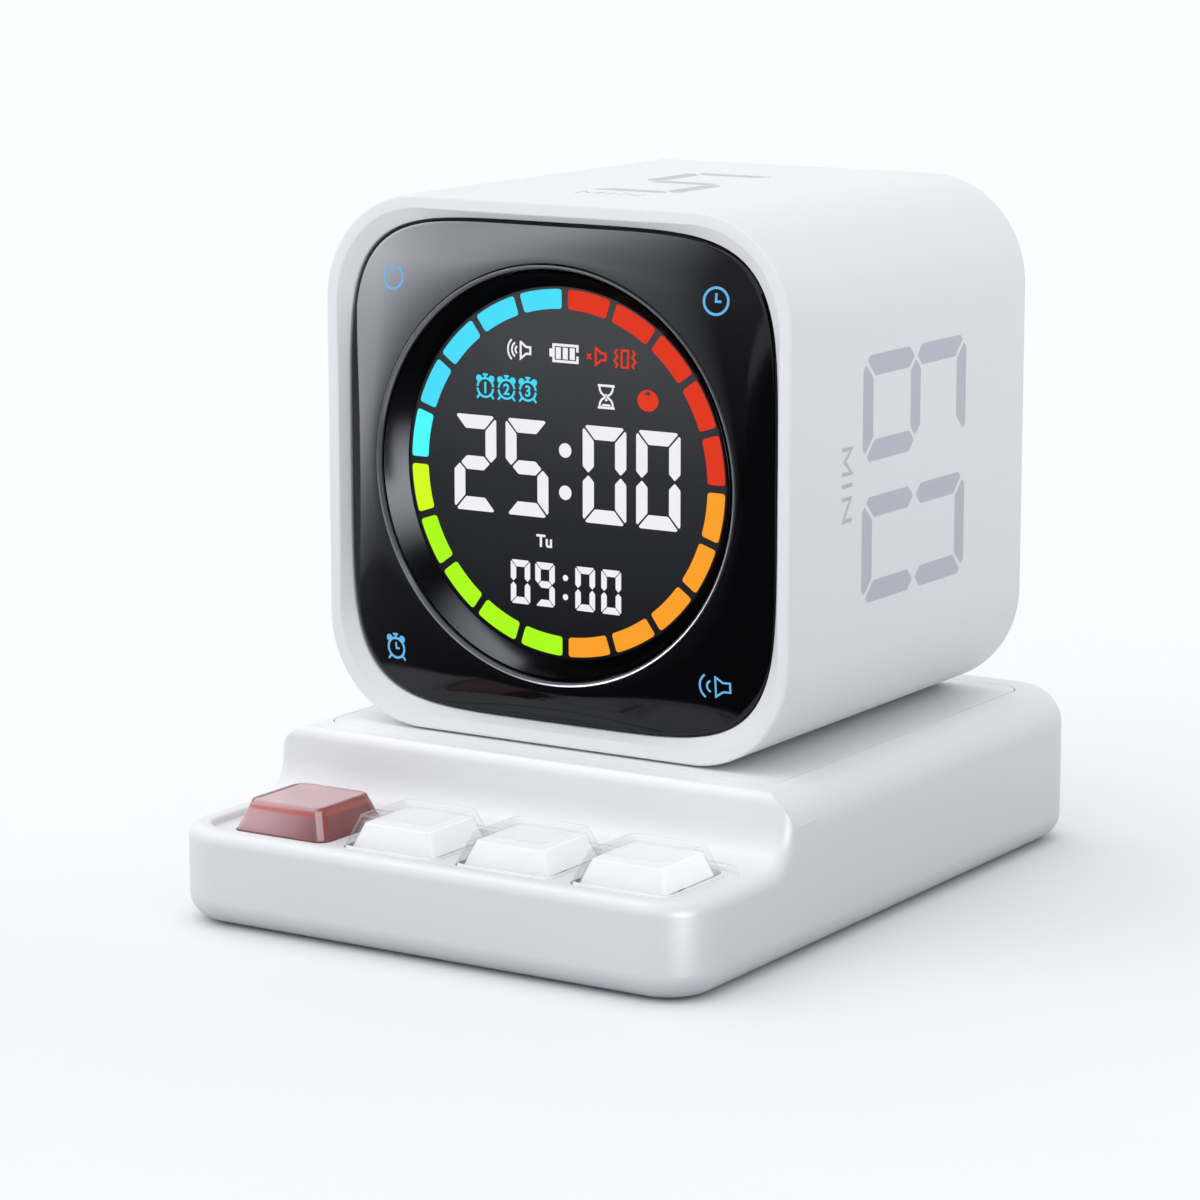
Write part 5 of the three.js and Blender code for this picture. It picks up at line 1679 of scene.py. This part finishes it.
def light_only(made, receivers):
    """Links a light, or a piece that glows, to the few pieces that it may reach."""
    made.light_linking.receiver_collection = bpy.data.collections.new(made.name)
    for piece in receivers:
        made.light_linking.receiver_collection.objects.link(piece)


def softbox(name, centre, across, rise, strength, receivers):
    """A glowing screen round centre that only the receivers mirror, with strength(share along, share up)."""
    finish, draw, shader = material(name, Base_Color=BLACK, Specular_IOR_Level=0.0)
    a, b, _ = draw.node("ShaderNodeUVMap", {"uv_map": "share"}).xyz()
    power = {0: SCREEN_TINT, "Scale": strength(a, b)}
    light_up(shader, draw.node("ShaderNodeVectorMath", {"operation": "SCALE"}, power))
    centre, across, rise = Vector(centre), Vector(across), Vector(rise)
    screen = sheet(name, [centre + across * sx + rise * sy for sx, sy in SQUARE], finish)
    layer = screen.data.uv_layers.new(name="share")
    for loop, (sx, sy) in zip(layer.data, SQUARE):
        loop.uv = ((sx + 1) / 2, (sy + 1) / 2)
    unseen(screen)
    light_only(screen, receivers)
    return screen


def dome(a, b):
    """1 in the middle, 0 on a circle that touches the sides."""
    return (1 - (2 * a - 1) ** 2 - (2 * b - 1) ** 2).math("MAXIMUM", 0)


def fading(a, b):
    """Bright far to the left, weak towards the camera, and dark at the foot."""
    return (0.55 + 14.2 * a.span(0.2745, 0.7059) ** 1.6) * b.span(-0.05, 0.383) ** 1.4


AZIMUTH = math.radians(62)
way = Vector((-math.sin(AZIMUTH), -math.cos(AZIMUTH), 0))
along = Vector((-math.cos(AZIMUTH), math.sin(AZIMUTH), 0))
left_place = Vector((0, DOCK_Y * MM - 0.035, 0.15)) + way * 0.23 - along * 0.125
screens = [
    softbox("left_screen", left_place, along * 0.255, (0, 0, 0.15), fading, (panel, ring)),
    softbox(
        "right_screen", (0.11, -0.07, 0.065), (0, 0.12, 0), (0, 0, 0.085),
        lambda a, b: 200 * dome(0.5, b) ** 2, (cone,),
    ),
    softbox(
        "top_screen", (0, -0.05, 0.8), (0.6, 0, 0), (0, 0.6, 0),
        lambda a, b: 110 * dome(a, b) ** 2, (cone,),
    ),
    softbox(
        "corner_screen", (0.094, -0.09, 0.03), (0.013, 0.021, 0), (0, 0, 0.0295),
        lambda a, b: 26 * dome(a, 0.5) * (1 - b), (housing,),
    ),
    softbox(
        "edge_screen", (-0.3, -0.16, 0.53), (0.12, 0, 0.076), (0, 0.12, 0),
        lambda a, b: 10 * dome(a, b), (housing,),
    ),
]
print("softboxes:", ", ".join(screen.name for screen in screens))

# %% [markdown]
# ## Light on the strip before the cube
# The cube's front lip and underside throw light on the strip of platform before it. A small lamp close above
# the strip stands for that. It is linked to the base housing and the dock plate, and is not seen itself.

# %% Shelf light
SHELF_LENGTH, SHELF_WIDTH, SHELF_ENERGY, SHELF_SPREAD = 0.074, 0.006, 0.00055, math.radians(60)
shelf = lamp("shelf_light", "AREA", SHELF_ENERGY)
shelf.data.shape, shelf.data.size, shelf.data.size_y = "RECTANGLE", SHELF_LENGTH, SHELF_WIDTH
shelf.data.spread = SHELF_SPREAD
shelf.location = (0, -0.0285, 0.040)
shelf.visible_camera = shelf.visible_glossy = False
light_only(shelf, (housing, plate))
print("shelf light over the strip of platform before the cube")

# %% [markdown]
# ## A dark card before the base
# The foot of the black panel mirrors the table in front. A dark card laid there keeps it black, as a
# photographer's flag would, and it shows in polished pieces only.

# %% Dark card
CARD_LEFT, CARD_RIGHT, CARD_NEAR, CARD_FAR, CARD_Z = -0.3, 0.3, -0.072, -1.3, 5e-4
card_black, draw, shader = material("dark_card", Roughness=0.9, Specular_IOR_Level=0.0)
x = object_place(draw).xyz()[0]
feed(shader, Base_Color=x.span(-0.19, -0.04).mix(shade(150, 151, 155), shade(60, 61, 64)))
corners = ((CARD_LEFT, CARD_FAR), (CARD_RIGHT, CARD_FAR), (CARD_RIGHT, CARD_NEAR), (CARD_LEFT, CARD_NEAR))
card = sheet("dark_card", [(x, y, CARD_Z) for x, y in corners], card_black)
unseen(card)
print("card on the table before the base, seen in polished pieces only")
